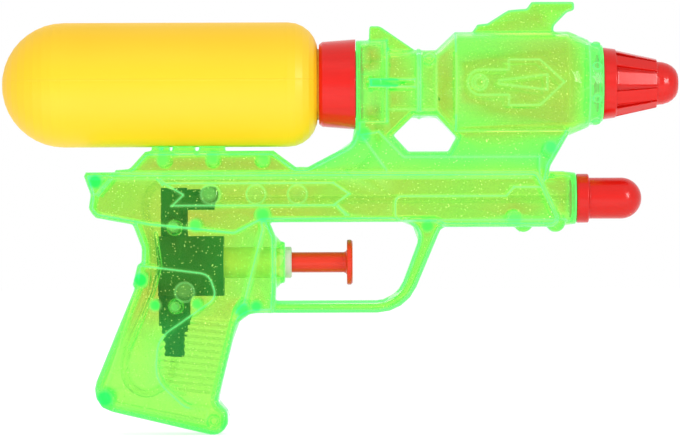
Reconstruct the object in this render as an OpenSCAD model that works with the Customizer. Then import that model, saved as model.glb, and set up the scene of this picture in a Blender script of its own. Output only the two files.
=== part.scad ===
// Water squirter with a screw-on tank, a plunger trigger and a clear two-part body. Sizes in mm.
// +X points at the target, +Z is up, and the origin is the middle of the grip.

/* [Tank] */
// Outside diameter of the tank
tank_d = 44.2; // [40:0.2:45]
// Length of the tank behind the collar
tank_length = 112.5; // [95:0.5:125]
// Wall of the blow-moulded tank
tank_wall = 1.2; // [0.8:0.1:1.6]
// Rounding of the tank's front shoulder
tank_shoulder = 10.6; // [10:0.2:14]
// Outside diameter of the tank's neck
tank_neck_d = 25.2; // [24:0.2:26]
// Bore of the tank's neck
tank_neck_bore = 21.4; // [19:0.2:22]

/* [Tank collar] */
// Diameter of the collar at the body
collar_d = 32; // [31:0.2:33]
// Diameter of the collar at the tank
collar_back_d = 30.2; // [29.4:0.2:31.6]
// Length of collar that shows
collar_length = 13.1; // [12.8:0.1:15]
// Thickness of the washer
seal_t = 1.2; // [0.8:0.1:2]
// Radial gap round the tank's neck in the collar
collar_gap = 0.35; // [0.25:0.05:0.45]
// Outside diameter of the collar's stem in the body
collar_stem_d = 23.6; // [22:0.2:25]

/* [Upper barrel] */
// Height of the barrel and tank axis
barrel_z = 87.2; // [86:0.2:90]
// Rear face of the upper barrel
neck_x = 63.8; // [62:0.2:66]
// Length of the neck behind the waist
neck_length = 11; // [10.6:0.1:12]
// Diameter of the neck
neck_d = 31.2; // [30:0.2:33]
// Diameter of the waist
waist_d = 24.2; // [23:0.2:26]
// Length of the waist
waist_length = 17.4; // [16:0.2:19]
// Length of the flare from the waist to the drum
flare_length = 6.7; // [5:0.1:8]
// Diameter of the drum
drum_d = 37; // [36:0.2:39]
// Length of the drum
drum_length = 40.4; // [38:0.2:42]
// Length of the drum's front taper
taper_length = 7; // [6:0.1:9]
// Diameter at the front of the taper
taper_d = 31; // [29.5:0.2:32]
// Length of the front ring
ring_length = 4.9; // [4.6:0.1:6]
// Diameter at the very front of the barrel
barrel_front_d = 27.2; // [26.4:0.2:28.4]
// Thickness of the four neck fins
fin_t = 2.8; // [2:0.1:4]
// Height of the neck fins over the neck
fin_h = 5; // [3:0.1:6]
// Half thickness of the sight fin
sight_half = 2.8; // [2.4:0.1:4]

/* [Nose cone] */
// Length of the fluted cone
cone_length = 15; // [12:0.5:18]
// Diameter at the back of the fluted cone
cone_d = 23.4; // [22:0.2:24.4]
// Diameter at the front of the fluted cone
cone_front_d = 16.8; // [15.5:0.1:18]
// Number of flutes
flutes = 10; // [8:1:16]
// Length of the rounded tip
tip_length = 7.4; // [6:0.1:9]

/* [Body shell] */
// Wall of the two half shells
wall = 1.6; // [1.3:0.1:1.7]
// Half width of the receiver
receiver_half = 11.5; // [11.2:0.1:13]
// Half width of the spine under the tank
spine_half = 8; // [7.6:0.1:9]
// Half width of the grip
grip_half = 11; // [10.4:0.1:12.5]
// Half width of the trigger housing
housing_half = 10; // [9.6:0.1:10.3]
// Half width of the trigger guard
guard_half = 5; // [4:0.1:6]
// Rounding of the outer edges
edge_r = 2.4; // [1.4:0.1:2.6]
// Rounding of the trigger guard's edges
guard_edge = 1.4; // [0.8:0.1:1.6]
// Height of raised panels and ribs
relief = 0.6; // [0.4:0.1:0.9]
// Where the front root of the trigger guard ends
guard_root_x = 97.5; // [96:0.5:99]
// Where the long panel on the lower barrel steps up
panel_step_x = 119.3; // [110:0.1:124]
// How far the front of the lower barrel leans forward from top to bottom
slab_slant = 9; // [4:0.5:11]

/* [Receiver] */
// Rear tip of the receiver
beak_x = -32.3; // [-35:0.1:-30]
// Top of the receiver's side faces
receiver_top = 56.2; // [55.6:0.1:57]
// Underside of the receiver above the trigger opening
receiver_bottom = 38.3; // [37.5:0.1:39.2]
// Underside of the receiver under the lower barrel
barrel_bottom = 36.4; // [35.6:0.1:37]
// Top of the spine under the tank
spine_top = 63.7; // [62.8:0.1:63.9]
// Height of the lower barrel and nozzle axis
nozzle_z = 46.5; // [46.2:0.1:47.2]
// Front face of the lower barrel
muzzle_x = 141.6; // [140:0.2:144]
// Diameter of the lower barrel's mouth
muzzle_d = 19.5; // [18.6:0.1:20]

/* [Nozzle] */
// Diameter of the nozzle's rear ring
nozzle_ring_d = 17.4; // [16.6:0.2:18]
// Length of the nozzle's rear ring
nozzle_ring_length = 4.6; // [3.6:0.1:6]
// Diameter of the nozzle
nozzle_d = 14.6; // [13:0.2:15.6]
// Length of the nozzle from the ring to its tip
nozzle_length = 18.8; // [15:0.2:24]
// Diameter of the jet hole
jet_d = 1; // [0.6:0.1:1.6]

/* [Grip] */
// Depth of the grip's toe under the origin
grip_drop = 38; // [35:0.5:44]
// Lean of the grip, as forward travel per unit of height
grip_lean = 0.36; // [0.32:0.01:0.38]
// Number of grip ribs
grip_ribs = 13; // [6:1:16]
// Width of a grip rib
grip_rib_w = 0.8; // [0.6:0.1:1.4]

/* [Trigger and pump] */
// Height of the plunger axis
plunger_z = 24.1; // [23.6:0.1:24.6]
// Diameter of the trigger pad
pad_d = 16; // [14:0.5:20]
// Thickness of the trigger pad
pad_t = 2; // [1.8:0.1:3.5]
// Diameter of the plunger rod
rod_d = 7.2; // [6.6:0.1:7.6]
// Travel of the trigger
stroke = 15; // [10:0.5:16]
// Gap left behind the pad when the trigger is fully pulled
pad_gap = 4.6; // [2:0.1:8]
// Outside diameter of the pump cylinder
cylinder_d = 11; // [10.6:0.1:11.4]
// Bore of the pump cylinder
bore_d = 8.6; // [8.2:0.1:8.8]
// Front end of the pump cylinder
cylinder_front = 40.8; // [40.2:0.1:42]
// Diameter of the riser on the pump's block
riser_d = 9.6; // [9.2:0.1:10]
// How far the riser stands over the nozzle's axis
riser_top = 4.2; // [3.8:0.1:4.3]
// Diameter of the outlet arm
arm_d = 7.4; // [7:0.1:7.8]
// Front end of the outlet arm
arm_front = 13.5; // [13:0.1:14]
// Diameter of the inlet socket under the pump's block
socket_d = 11.2; // [10.8:0.1:11.6]
// Drop of the inlet socket under the pump's block
socket_drop = 10.6; // [10.4:0.1:10.8]
// Length of the piston head
head_length = 5; // [4.4:0.1:6]
// Cord diameter of the piston's O-ring
oring_cord = 1.3; // [1:0.1:1.5]
// Radial running clearance of the piston and the rod
run_gap = 0.06; // [0.04:0.01:0.1]
// Radial clearance of fixed fits
fit_gap = 0.05; // [0.03:0.01:0.1]

/* [Springs and valves] */
// Wire of the return spring
spring_wire = 0.6; // [0.5:0.05:0.7]
// Mean diameter of the return spring
spring_d = 6.4; // [6:0.1:6.8]
// Curls of the return spring
spring_curls = 13; // [8:1:15]
// Diameter of both valve balls
ball_d = 4; // [3.6:0.1:4.2]
// Diameter of the water ways
way_d = 2.4; // [1.8:0.1:2.6]
// Lift of the valve balls
ball_lift = 1.2; // [0.8:0.1:1.4]
// Wire of the outlet spring
valve_wire = 0.4; // [0.3:0.05:0.5]
// Curls of the outlet spring
valve_curls = 5; // [4:1:6]

/* [Hoses] */
// Outside diameter of the hoses
hose_d = 3.2; // [2.8:0.1:3.2]
// Bore of the hoses
hose_bore = 2; // [1.4:0.1:2.2]
// Height of the hose run along the receiver
hose_z = 54; // [53.8:0.1:54.2]

/* [Joining pins] */
// Diameter of the joining bosses
boss_d = 4.4; // [4:0.1:4.6]
// Diameter of the joining pins
pin_d = 2.6; // [2:0.1:2.8]
// Length of a pin past the joint
pin_length = 3; // [2:0.1:3.4]

/* [Hidden] */
$fn = 64;
far = 400;
collar_x = neck_x - collar_length;
collar_bore_r = tank_neck_d / 2 + collar_gap;
// The chamfer of the collar's rear edge leaves half of the wall there
collar_lip = min(0.9, collar_back_d / 4 - collar_bore_r / 2);
tank_r = tank_d / 2;
neck_r = neck_d / 2;
waist_r = waist_d / 2;
drum_r = drum_d / 2;
neck_end = neck_x + neck_length;
waist_end = neck_end + waist_length;
drum_x = waist_end + flare_length;
drum_end = drum_x + drum_length;
ring_x = drum_end + taper_length;
barrel_front = ring_x + ring_length;
bulkhead = 1.3;
web_x = neck_x - 2.7;
mouth_x = web_x - seal_t;
elbow_x = neck_x + 8.4;
slab_front = muzzle_x - 8;
valve_x = -0.8;
block_back = -6.4;
block_front = 16.7;
block_half = 7;
block_top = plunger_z + 9.4;
block_bottom = plunger_z - 11.7;
chamber_end = -3.4;
seat_z = block_bottom - 7.4;
head_front = cylinder_front - 5.9;
pad_x = cylinder_front + stroke + pad_gap;
hose_r = hose_d / 2;
grip_foot = -grip_lean * grip_drop;

function unit(v) = v / norm(v);

// Points of the arc that rounds corner b between its neighbours a and c
function corner(a, b, c, r) =
    let (
        p = [b[0], b[1]],
        u = unit([a[0], a[1]] - p),
        v = unit([c[0], c[1]] - p),
        half = acos(u * v) / 2,
        centre = p + unit(u + v) * r / sin(half),
        s = p + u * r / tan(half) - centre,
        e = p + v * r / tan(half) - centre,
        a0 = atan2(s[1], s[0]),
        turn = atan2(e[1], e[0]) - a0,
        sweep = turn > 180 ? turn - 360 : turn < -180 ? turn + 360 : turn,
        steps = max(2, ceil(abs(sweep) / 22))
    )
    [for (k = [0:steps]) centre + r * [cos(a0 + sweep * k / steps), sin(a0 + sweep * k / steps)]];

// Outline from corners [x, z, radius]
function rounded(p) =
    [for (i = [0:len(p) - 1])
        each p[i][2] > 0
            ? corner(p[(i + len(p) - 1) % len(p)], p[i], p[(i + 1) % len(p)], p[i][2])
            : [[p[i][0], p[i][1]]]];

// Inward normal of the side from a to b of an anticlockwise outline
function inward(a, b) = unit([a[1] - b[1], b[0] - a[0]]);

// The outline moved inward by d
function inset(p, d) =
    let (n = len(p))
    [for (i = [0:n - 1])
        let (
            m = inward(p[(i + n - 1) % n], p[i]),
            k = inward(p[i], p[(i + 1) % n])
        )
        p[i] + (m + k) * d / (1 + m * k)];

function turn2(a, b, c) = (b[0] - a[0]) * (c[1] - a[1]) - (b[1] - a[1]) * (c[0] - a[0]);

function inside(q, a, b, c) = turn2(a, b, q) >= 0 && turn2(b, c, q) >= 0 && turn2(c, a, q) >= 0;

function is_ear(p, l, i) =
    let (
        n = len(l),
        a = l[(i + n - 1) % n],
        b = l[i],
        c = l[(i + 1) % n]
    )
    turn2(p[a], p[b], p[c]) > 0
        && len([for (k = l) if (k != a && k != b && k != c && inside(p[k], p[a], p[b], p[c])) k]) == 0;

function first_ear(p, l, i = 0) = i >= len(l) || is_ear(p, l, i) ? i : first_ear(p, l, i + 1);

// Triangles that fill an anticlockwise outline
function fill(p, l) =
    len(l) < 4 ? [l] :
    let (
        n = len(l),
        i = first_ear(p, l)
    )
    concat([[l[(i + n - 1) % n], l[i], l[(i + 1) % n]]], fill(p, [for (k = [0:n - 1]) if (k != i) l[k]]));

// Half body from y = 0 out to y = -half with its outer edge rounded
module pillow(outline, half, edge) {
    n = len(outline);
    steps = [0, 30, 60, 90];
    rings = concat(
        [[for (p = outline) [p[0], 0, p[1]]]],
        [for (a = steps)
            [for (p = inset(outline, edge * (1 - cos(a))))
                [p[0], -(half - edge) - edge * sin(a), p[1]]]]
    );
    last = len(rings) - 1;
    sides = [for (r = [0:last - 1])
        for (i = [0:n - 1])
            let (j = (i + 1) % n)
            each [
                [r * n + i, r * n + j, (r + 1) * n + j],
                [r * n + i, (r + 1) * n + j, (r + 1) * n + i]
            ]];
    order = [for (i = [0:n - 1]) i];
    top = inset(outline, edge);
    polyhedron(
        [for (r = rings) each r],
        concat(
            [for (s = sides) [s[0], s[2], s[1]]],
            fill(outline, order),
            [for (t = fill(top, order)) [for (k = [2, 1, 0]) t[k] + last * n]]
        )
    );
}

// Straight plate from y = -from to y = -to
module plate(from, to) {
    translate([0, -from, 0])
        rotate([90, 0, 0])
            linear_extrude(to - from)
                children();
}

// Half of a turned body about the X axis at height z, from a profile of [radius, x]
module half_turn(z) {
    translate([0, 0, z])
        rotate([0, 90, 0])
            rotate([0, 0, 180])
                rotate_extrude(angle = 180)
                    children();
}

// Turned body about the X axis at height z, from a profile of [radius, x]
module turned(z) {
    translate([0, 0, z])
        rotate([0, 90, 0])
            rotate_extrude()
                children();
}

// Round bar along X from x0 to x1
module bar_x(x0, x1, z, d) {
    translate([x0, 0, z])
        rotate([0, 90, 0])
            cylinder(h = x1 - x0, d = d);
}

// Round bar along Z from z0 to z1
module bar_z(x, z0, z1, d) {
    translate([x, 0, z0])
        cylinder(h = z1 - z0, d = d);
}

// Tube through the rings of points given, closed by its two end faces
module swept(path, r, sides) {
    n = len(path);
    rings = [for (i = [0:n - 1])
        let (
            t = unit(path[min(i + 1, n - 1)] - path[max(i - 1, 0)]),
            u = unit(cross(abs(t[1]) < 0.7 ? [0, 1, 0] : [1, 0, 0], t)),
            v = cross(t, u)
        )
        [for (k = [0:sides - 1]) path[i] + r * (u * cos(360 * k / sides) + v * sin(360 * k / sides))]];
    polyhedron(
        [for (g = rings) each g],
        concat(
            [for (i = [0:n - 2])
                for (k = [0:sides - 1])
                    let (
                        a = i * sides + k,
                        b = i * sides + (k + 1) % sides
                    )
                    each [[a, a + sides, b + sides], [a, b + sides, b]]],
            [for (k = [1:sides - 2]) [0, k, k + 1]],
            [for (k = [1:sides - 2])
                let (e = (n - 1) * sides)
                [e, e + k + 1, e + k]]
        )
    );
}

// Outlines in the X-Z plane, as corners [x, z, radius]
receiver_outline = rounded([
    [beak_x - 0.6, receiver_top, 1.4],
    [beak_x + 2.3, nozzle_z + 1.8, 3],
    [beak_x + 1.5, nozzle_z - 3.4, 3],
    [beak_x + 4, receiver_bottom + 1.7, 3],
    [-9.2, receiver_bottom - 1.7, 0],
    [20.9, receiver_bottom - 4.9, 3],
    [30.5, receiver_bottom, 4],
    [90.9, receiver_bottom, 0],
    [95, barrel_bottom, 0],
    [slab_front + slab_slant * 0.38, barrel_bottom, 3],
    [slab_front - slab_slant * 0.62, receiver_top, 3]
]);
spine_outline = rounded([
    [-21.5, nozzle_z + 2.3, 0],
    [slab_front - 3, nozzle_z + 2.3, 0],
    [slab_front - 1.4, receiver_top + 0.6, 0],
    [slab_front - 1, receiver_top + 1.9, 0],
    [drum_end, barrel_z - 17.6, 3],
    [drum_end - 0.4, barrel_z - 5, 0],
    [neck_x, barrel_z - 5, 0],
    [neck_x, barrel_z - 16.3, 3],
    [neck_x - 2, barrel_z - 21.4, 4],
    [46.5, spine_top - 5.9, 3],
    [42.5, spine_top - 5.9, 3],
    [34.6, spine_top, 3],
    [-10.7, spine_top, 3],
    [-16.4, receiver_top + 1.2, 2],
    [-21.5, receiver_top + 0.8, 0]
]);
window = [
    [neck_end + 2.2, barrel_z - waist_r - 6.2],
    [neck_end + 7.4, spine_top - 0.5],
    [drum_x - 2.6, spine_top - 0.5],
    [drum_x + 0.2, barrel_z - drum_r - 0.5],
    [waist_end, barrel_z - waist_r + 0.6],
    [neck_end + 9.2, barrel_z - waist_r + 0.6]
];
grip_outline = rounded([
    [-12.2, nozzle_z, 0],
    [-15.2, receiver_bottom - 0.6, 0],
    [-12, 29.4, 5],
    [-12.2, 24.4, 0],
    [-13.6, 23.4, 0],
    [-15.3, 16.4, 0],
    [-14.6, 15.2, 0],
    [grip_foot - 18.1, 11.7 - grip_drop, 8],
    [grip_foot + 31.2, 0.1 - grip_drop, 5.2],
    [grip_foot + 32.4, 9.4 - grip_drop, 4.6],
    [grip_foot + 28.3, 13 - grip_drop, 2.6],
    [22.6, 7, 5],
    [25.2, 9, 0],
    [32, 36, 0],
    [30, nozzle_z, 0]
]);
housing_outline = rounded([
    [14, -8, 0],
    [18.8, -8, 0],
    [22.5, 6.2, 7.5],
    [34.7, 6.2, 0],
    [35.4, 14.6, 0],
    [35.4, 33, 3],
    [33.2, receiver_bottom - 0.2, 0],
    [33.2, nozzle_z - 2, 0],
    [14, nozzle_z - 2, 0]
]);
guard_outline = rounded([
    [19, 6.2, 0],
    [81.2, 6.2, 15],
    [93.9, barrel_bottom, 2.6],
    [guard_root_x, barrel_bottom, 0],
    [guard_root_x, receiver_bottom + 3, 0],
    [79.5, receiver_bottom + 3, 0],
    [79.5, receiver_bottom, 0],
    [88.2, receiver_bottom, 5.6],
    [77.8, 10.6, 10.4],
    [19, 10.6, 0]
]);
sight_outline = rounded([
    [drum_x + 6.4, barrel_z + 12, 0],
    [drum_end - 5.4, barrel_z + 12, 0],
    [drum_end - 5.4, barrel_z + 20.4, 2.6],
    [drum_end - 0.6, barrel_z + 25.2, 2],
    [drum_end + 2, barrel_z + 26, 1],
    [drum_end + 2, barrel_z + 29, 1],
    [drum_end - 13.2, barrel_z + 29, 1.1],
    [drum_end - 14.8, barrel_z + 26.6, 0.8],
    [drum_x + 19, barrel_z + 26.1, 6],
    [drum_x + 11.6, barrel_z + 21.4, 1],
    [drum_x + 8, barrel_z + 21, 1],
    [drum_x + 6.4, barrel_z + 18.6, 0]
]);
barrel_profile = [
    [0, neck_x],
    [neck_r, neck_x],
    [neck_r, neck_end],
    [waist_r, neck_end],
    [waist_r, waist_end - 6.6],
    [waist_r + 0.5, waist_end - 6.6],
    [waist_r + 0.5, waist_end - 5.6],
    [waist_r, waist_end - 5.6],
    [waist_r, waist_end],
    [drum_r, drum_x],
    [drum_r, drum_end],
    [taper_d / 2, ring_x],
    [taper_d / 2 - 0.5, ring_x],
    [barrel_front_d / 2, barrel_front],
    [0, barrel_front]
];
barrel_hollow = [
    [0, neck_x + bulkhead],
    [neck_r - wall, neck_x + bulkhead],
    [neck_r - wall, neck_end - wall],
    [waist_r - wall, neck_end - wall],
    [waist_r - wall, waist_end + 0.4 * wall],
    [drum_r - wall, drum_x + 0.4 * wall],
    [drum_r - wall, drum_end - 0.3 * wall],
    [taper_d / 2 - wall - 0.5, ring_x - 0.3 * wall],
    [barrel_front_d / 2 - wall + 0.4, barrel_front - bulkhead],
    [0, barrel_front - bulkhead]
];

// Joining pins as [x, z, half width of the body there]
pins = [
    [beak_x + 6.7, receiver_top - 3.2, receiver_half],
    [-3.9, spine_top - 3.6, spine_half],
    [13.1, spine_top - 3.6, spine_half],
    [30.5, spine_top - 3.6, spine_half],
    [30.5, receiver_bottom + 2.6, receiver_half],
    [-12.6, 18, grip_half],
    [grip_foot - 11, 13 - grip_drop, grip_half],
    [grip_foot + 26.6, 6 - grip_drop, grip_half],
    [24, 9, housing_half],
    [neck_x + 2.4, barrel_z - 18, spine_half],
    [119.3, barrel_bottom + 3.4, receiver_half],
    [slab_front - 1.6, receiver_top + 7, spine_half],
    [waist_end - 2.4, barrel_z + 8.4, 8.6]
];

// Rounded left side of the drum's raised panel, seen from the side
module drum_panel() {
    translate([drum_x, barrel_z])
        union() {
            translate([8.5, 0])
                circle(4.4);
            translate([8.5, -4.4])
                square([11, 8.8]);
            polygon([[18.5, 8], [29.5, 8], [38, 0], [29.5, -8], [18.5, -8]]);
        }
}

module drum_detail() {
    translate([drum_x, barrel_z]) {
        polygon([[15, 0.6], [32, 2.7], [32, -2.7], [15, -0.6]]);
        difference() {
            translate([8.2, 0])
                circle(2.7);
            translate([8.2, 0])
                circle(1.6);
        }
    }
}

// Raised panel at the back of the grip
module grip_panel() {
    polygon(rounded([
        [-12.6, 23.3, 0],
        [11.8, 20.2, 4.6],
        [14.6, 11.8, 4],
        [-6.2, -2.6, 9],
        [-7.2, -17, 10],
        [grip_foot + 17.2, 11 - grip_drop, 6],
        [grip_foot + 24.8, 10.6 - grip_drop, 1],
        [grip_foot + 24.2, 5.6 - grip_drop, 1],
        [grip_foot - 12.5, 13 - grip_drop, 5],
        [grip_foot - 10.4, 20 - grip_drop, 0],
        [-13.4, 15.4, 0]
    ]));
}

// Grip ribs in front of the panel
module rib_field() {
    difference() {
        polygon([
            [0, 6],
            [20.2, 4],
            [grip_foot + 28.2, 16 - grip_drop],
            [grip_foot + 14, 16 - grip_drop],
            [-14, 0]
        ]);
        offset(delta = 0.8)
            grip_panel();
    }
}

module grip_rib_stripes() {
    for (i = [0:grip_ribs - 1])
        translate([-14, 7.6 - i * 31 / grip_ribs])
            rotate(-6)
                square([38, grip_rib_w]);
}

module raised_details() {
    // chevron band along the receiver
    plate(receiver_half - 0.6, receiver_half + relief)
        polygon([
            [-4.6, nozzle_z + 5.8],
            [2.8, nozzle_z + 1.6],
            [-1.4, nozzle_z - 2.3],
            [55.7, nozzle_z - 2.3],
            [61.4, nozzle_z + 1.8],
            [55.7, nozzle_z + 5.8]
        ]);
    // zigzag below the band, and the slant lines at its back and across the beak
    plate(receiver_half - 0.6, receiver_half + relief)
        polygon([
            [56.4, nozzle_z - 2.1],
            [57.4, nozzle_z - 2.4],
            [60.9, receiver_bottom + 2.5],
            [59.9, receiver_bottom + 2.5]
        ]);
    plate(receiver_half - 0.6, receiver_half + relief)
        polygon([
            [-6.5, receiver_top - 2.5],
            [-5.1, receiver_top - 2.5],
            [-3.6, nozzle_z + 5.7],
            [-4.6, nozzle_z + 5.2]
        ]);
    plate(receiver_half - 0.6, receiver_half + relief)
        polygon([
            [-23.4, receiver_top - 2.5],
            [-22.2, receiver_top - 2.5],
            [-27.1, nozzle_z + 1.4],
            [-28, nozzle_z + 1.9]
        ]);
    // long panel along the lower barrel
    plate(receiver_half - 0.6, receiver_half + relief)
        polygon(rounded([
            [77.4, nozzle_z + 1, 2.4],
            [77.4, barrel_bottom + 2.4, 2.4],
            [slab_front + slab_slant * 0.26 - 1.4, barrel_bottom + 2.4, 0],
            [slab_front - slab_slant * 0.34 - 1.4, nozzle_z + 4.1, 0],
            [panel_step_x, nozzle_z + 4.1, 0],
            [panel_step_x - 2.7, nozzle_z + 1, 0]
        ]));
    // frame round the lower left of the window
    plate(spine_half - 0.6, spine_half + relief)
        polygon([
            [neck_x + 1.6, barrel_z - 18],
            [neck_x + 8, barrel_z - 17],
            [neck_end + 5.8, spine_top - 2.4],
            [slab_front - 5, spine_top - 2.4],
            [slab_front - 5, receiver_top - 1],
            [neck_end + 0.6, receiver_top - 1]
        ]);
    plate(grip_half - 0.6, grip_half + relief)
        grip_panel();
    plate(grip_half - 0.6, grip_half + relief)
        intersection() {
            rib_field();
            grip_rib_stripes();
        }
    for (x = [12.4, 28.4, 43])
        dome(x, nozzle_z + 1.7, receiver_half + relief - 0.1);
    dome(3.2, 13.8, grip_half + relief - 0.1);
    // drum panel in two heights
    intersection() {
        plate(drum_r - 10, drum_r + 2)
            drum_panel();
        half_turn(barrel_z)
            polygon([[0, drum_x], [drum_r + relief, drum_x], [drum_r + relief, drum_end], [0, drum_end]]);
    }
    intersection() {
        plate(drum_r - 5, drum_r + 2)
            drum_detail();
        half_turn(barrel_z)
            polygon([
                [0, drum_x],
                [drum_r + 2 * relief, drum_x],
                [drum_r + 2 * relief, drum_end],
                [0, drum_end]
            ]);
    }
}

// Low round dome on a side face at y = -face
module dome(x, z, face) {
    translate([x, 4.4 - face, z])
        sphere(r = 5.6);
}

// Fin in the plane y = 0 over the neck, built toward +Z
module neck_fin() {
    rotate([90, 0, 0])
        linear_extrude(fin_t, center = true)
            polygon([
                [neck_x + 4.6, neck_r - 1],
                [neck_x + 4.8, neck_r + fin_h - 0.6],
                [neck_x + 5.2, neck_r + fin_h],
                [neck_x + 8, neck_r + fin_h],
                [neck_x + 9.1, neck_r + fin_h - 0.4],
                [neck_x + 21.4, waist_r - 0.4],
                [neck_end + 1, waist_r - 0.4],
                [neck_end - 1, neck_r - 1]
            ]);
}

module saddle_teeth() {
    difference() {
        for (t = [[-8.6, 3], [-4.8, 2.6], [-1.2, 8], [8.2, 9.2]])
            translate([t[0], -5.4, spine_top - 1])
                cube([t[1], 5.4, 6]);
        bar_x(-20, 40, barrel_z, tank_d + 0.6);
    }
}

module outer_half() {
    difference() {
        pillow(spine_outline, spine_half, edge_r);
        plate(-1, far)
            polygon(window);
    }
    pillow(receiver_outline, receiver_half, edge_r);
    pillow(grip_outline, grip_half, edge_r);
    pillow(housing_outline, housing_half, edge_r);
    pillow(guard_outline, guard_half, guard_edge);
    pillow(sight_outline, sight_half, 0.8);
    half_turn(barrel_z)
        polygon(barrel_profile);
    half_turn(nozzle_z)
        polygon([
            [0, slab_front - 8],
            [muzzle_d / 2, slab_front - 8],
            [muzzle_d / 2, muzzle_x - 4.6],
            [muzzle_d / 2 - 0.6, muzzle_x],
            [0, muzzle_x]
        ]);
    half_turn(plunger_z)
        polygon([
            [0, 30],
            [9.6, 30],
            [9.6, 35.2],
            [7.6, 37],
            [7.2, cylinder_front - 2.3],
            [0, cylinder_front - 2.3]
        ]);
    intersection() {
        translate([0, 0, barrel_z])
            for (a = [0, 90])
                rotate([a, 0, 0])
                    neck_fin();
        translate([0, -far, 0])
            cube(far);
    }
    for (a = [22.5:45:157.5])
        translate([ring_x + ring_length / 2, 0, barrel_z])
            rotate([a, 0, 0])
                ring_stud();
    for (x = [slab_front - 10.8, slab_front + 0.6])
        translate([x, 0, barrel_bottom + 1.7])
            rotate([90, 0, 0])
                cylinder(h = 6.4, d = 7);
    raised_details();
    saddle_teeth();
}

// Small lug on the front ring, standing out along +Z before it is turned
module ring_stud() {
    translate([0, 0, taper_d / 2 - 3])
        cylinder(h = 2.9, d = 3.2);
}

module hollow_half() {
    plate(-1, spine_half - wall)
        difference() {
            offset(delta = -wall)
                polygon(spine_outline);
            offset(delta = wall)
                polygon(window);
        }
    plate(-1, receiver_half - wall)
        offset(delta = -wall)
            polygon(receiver_outline);
    plate(-1, grip_half - wall - 0.8)
        offset(delta = -wall)
            polygon(grip_outline);
    plate(grip_half - wall - 1, grip_half - wall)
        offset(delta = -wall - 0.8)
            polygon(grip_outline);
    plate(-1, housing_half - wall)
        offset(delta = -wall)
            polygon(housing_outline);
    plate(-1, guard_half - wall)
        offset(delta = -1.3)
            polygon(guard_outline);
    turned(barrel_z)
        polygon(barrel_hollow);
    bar_x(neck_x - 1, neck_x + bulkhead + 1, barrel_z, collar_stem_d + 2 * fit_gap);
    bar_x(barrel_front - bulkhead - 1, barrel_front + 1, barrel_z, 18 + 2 * fit_gap);
    bar_x(slab_front - 9, muzzle_x - bulkhead, nozzle_z, muzzle_d - 2 * wall - 0.8);
    bar_x(muzzle_x - 2 * bulkhead, muzzle_x + 1, nozzle_z, 11 + 2 * fit_gap);
    bar_x(32, cylinder_front, plunger_z, cylinder_d + 2 * fit_gap);
}

module shell_half() {
    difference() {
        outer_half();
        hollow_half();
    }
    for (p = pins)
        translate([p[0], wall / 2 - p[2], p[1]])
            rotate([-90, 0, 0])
                cylinder(h = p[2] - wall / 2, d = boss_d);
}

module right_shell() {
    color([0.55, 0.95, 0.25, 0.5]) {
        shell_half();
        for (p = pins)
            translate([p[0], -1, p[1]])
                rotate([-90, 0, 0])
                    cylinder(h = pin_length + 1, d = pin_d);
        // bosses that steady the pump
        for (p = [[-0.4, receiver_half], [0, grip_half]])
            translate([p[0], wall / 2 - p[1], p[1] == receiver_half ? block_top + 3 : block_bottom - 3.6])
                rotate([-90, 0, 0])
                    difference() {
                        cylinder(h = p[1] - wall / 2 - block_half + 1.4, d = 5);
                        translate([0, 0, 1.4])
                            cylinder(h = p[1], d = 3.2);
                    }
        // rib down the back of the grip
        plate(block_half + 0.2, grip_half - wall / 2)
            polygon([
                [-6.6, 35],
                [-7.5, 35],
                [-5.9, 23],
                [-8.5, 13.6],
                [-16.9, -6],
                [-16, -6.4],
                [-7.6, 13.5],
                [-5, 23]
            ]);
    }
}

module left_shell() {
    color([0.55, 0.95, 0.25, 0.5])
        difference() {
            mirror([0, 1, 0])
                shell_half();
            for (p = pins)
                translate([p[0], -1, p[1]])
                    rotate([-90, 0, 0])
                        cylinder(h = pin_length + 1.3, d = pin_d + 2 * fit_gap);
        }
}

// Profile of the tank as [radius, x] with its wall moved in by t
function tank_profile(t) =
    let (
        back = collar_x - tank_length,
        front = collar_x - 0.4,
        s = tank_shoulder
    )
    concat(
        [for (a = [0:9:90]) [(tank_r - t) * sin(a), back + tank_r - (tank_r - t) * cos(a)]],
        [for (a = [0:15:90]) [tank_r - s + (s - t) * cos(a), front - s + (s - t) * sin(a)]],
        [[0, front - t]]
    );

module tank() {
    color([0.98, 0.83, 0.18])
        difference() {
            union() {
                turned(barrel_z)
                    polygon(tank_profile(0));
                bar_x(collar_x - 6, mouth_x, barrel_z, tank_neck_d);
            }
            turned(barrel_z)
                polygon(tank_profile(tank_wall));
            bar_x(collar_x - 12, far, barrel_z, tank_neck_bore);
        }
}

module tank_seal() {
    color([0.2, 0.2, 0.2])
        turned(barrel_z)
            translate([9, mouth_x])
                square([tank_neck_d / 2 - 9, seal_t]);
}

module tank_collar() {
    color([0.92, 0.12, 0.1])
        turned(barrel_z)
            polygon([
                [collar_bore_r, collar_x],
                [collar_back_d / 2 - collar_lip, collar_x],
                [collar_back_d / 2, collar_x + 1.2],
                [collar_d / 2, neck_x - 0.2],
                [collar_stem_d / 2, neck_x - 0.2],
                [collar_stem_d / 2, neck_x + bulkhead + 0.15],
                [collar_stem_d / 2 + 1.3, neck_x + bulkhead + 0.15],
                [collar_stem_d / 2 + 1.3, neck_x + bulkhead + 0.95],
                [10, neck_x + bulkhead + 0.95],
                [10, web_x + 1.6],
                [3 + fit_gap, web_x + 1.6],
                [3 + fit_gap, web_x],
                [collar_bore_r, web_x]
            ]);
}

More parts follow.
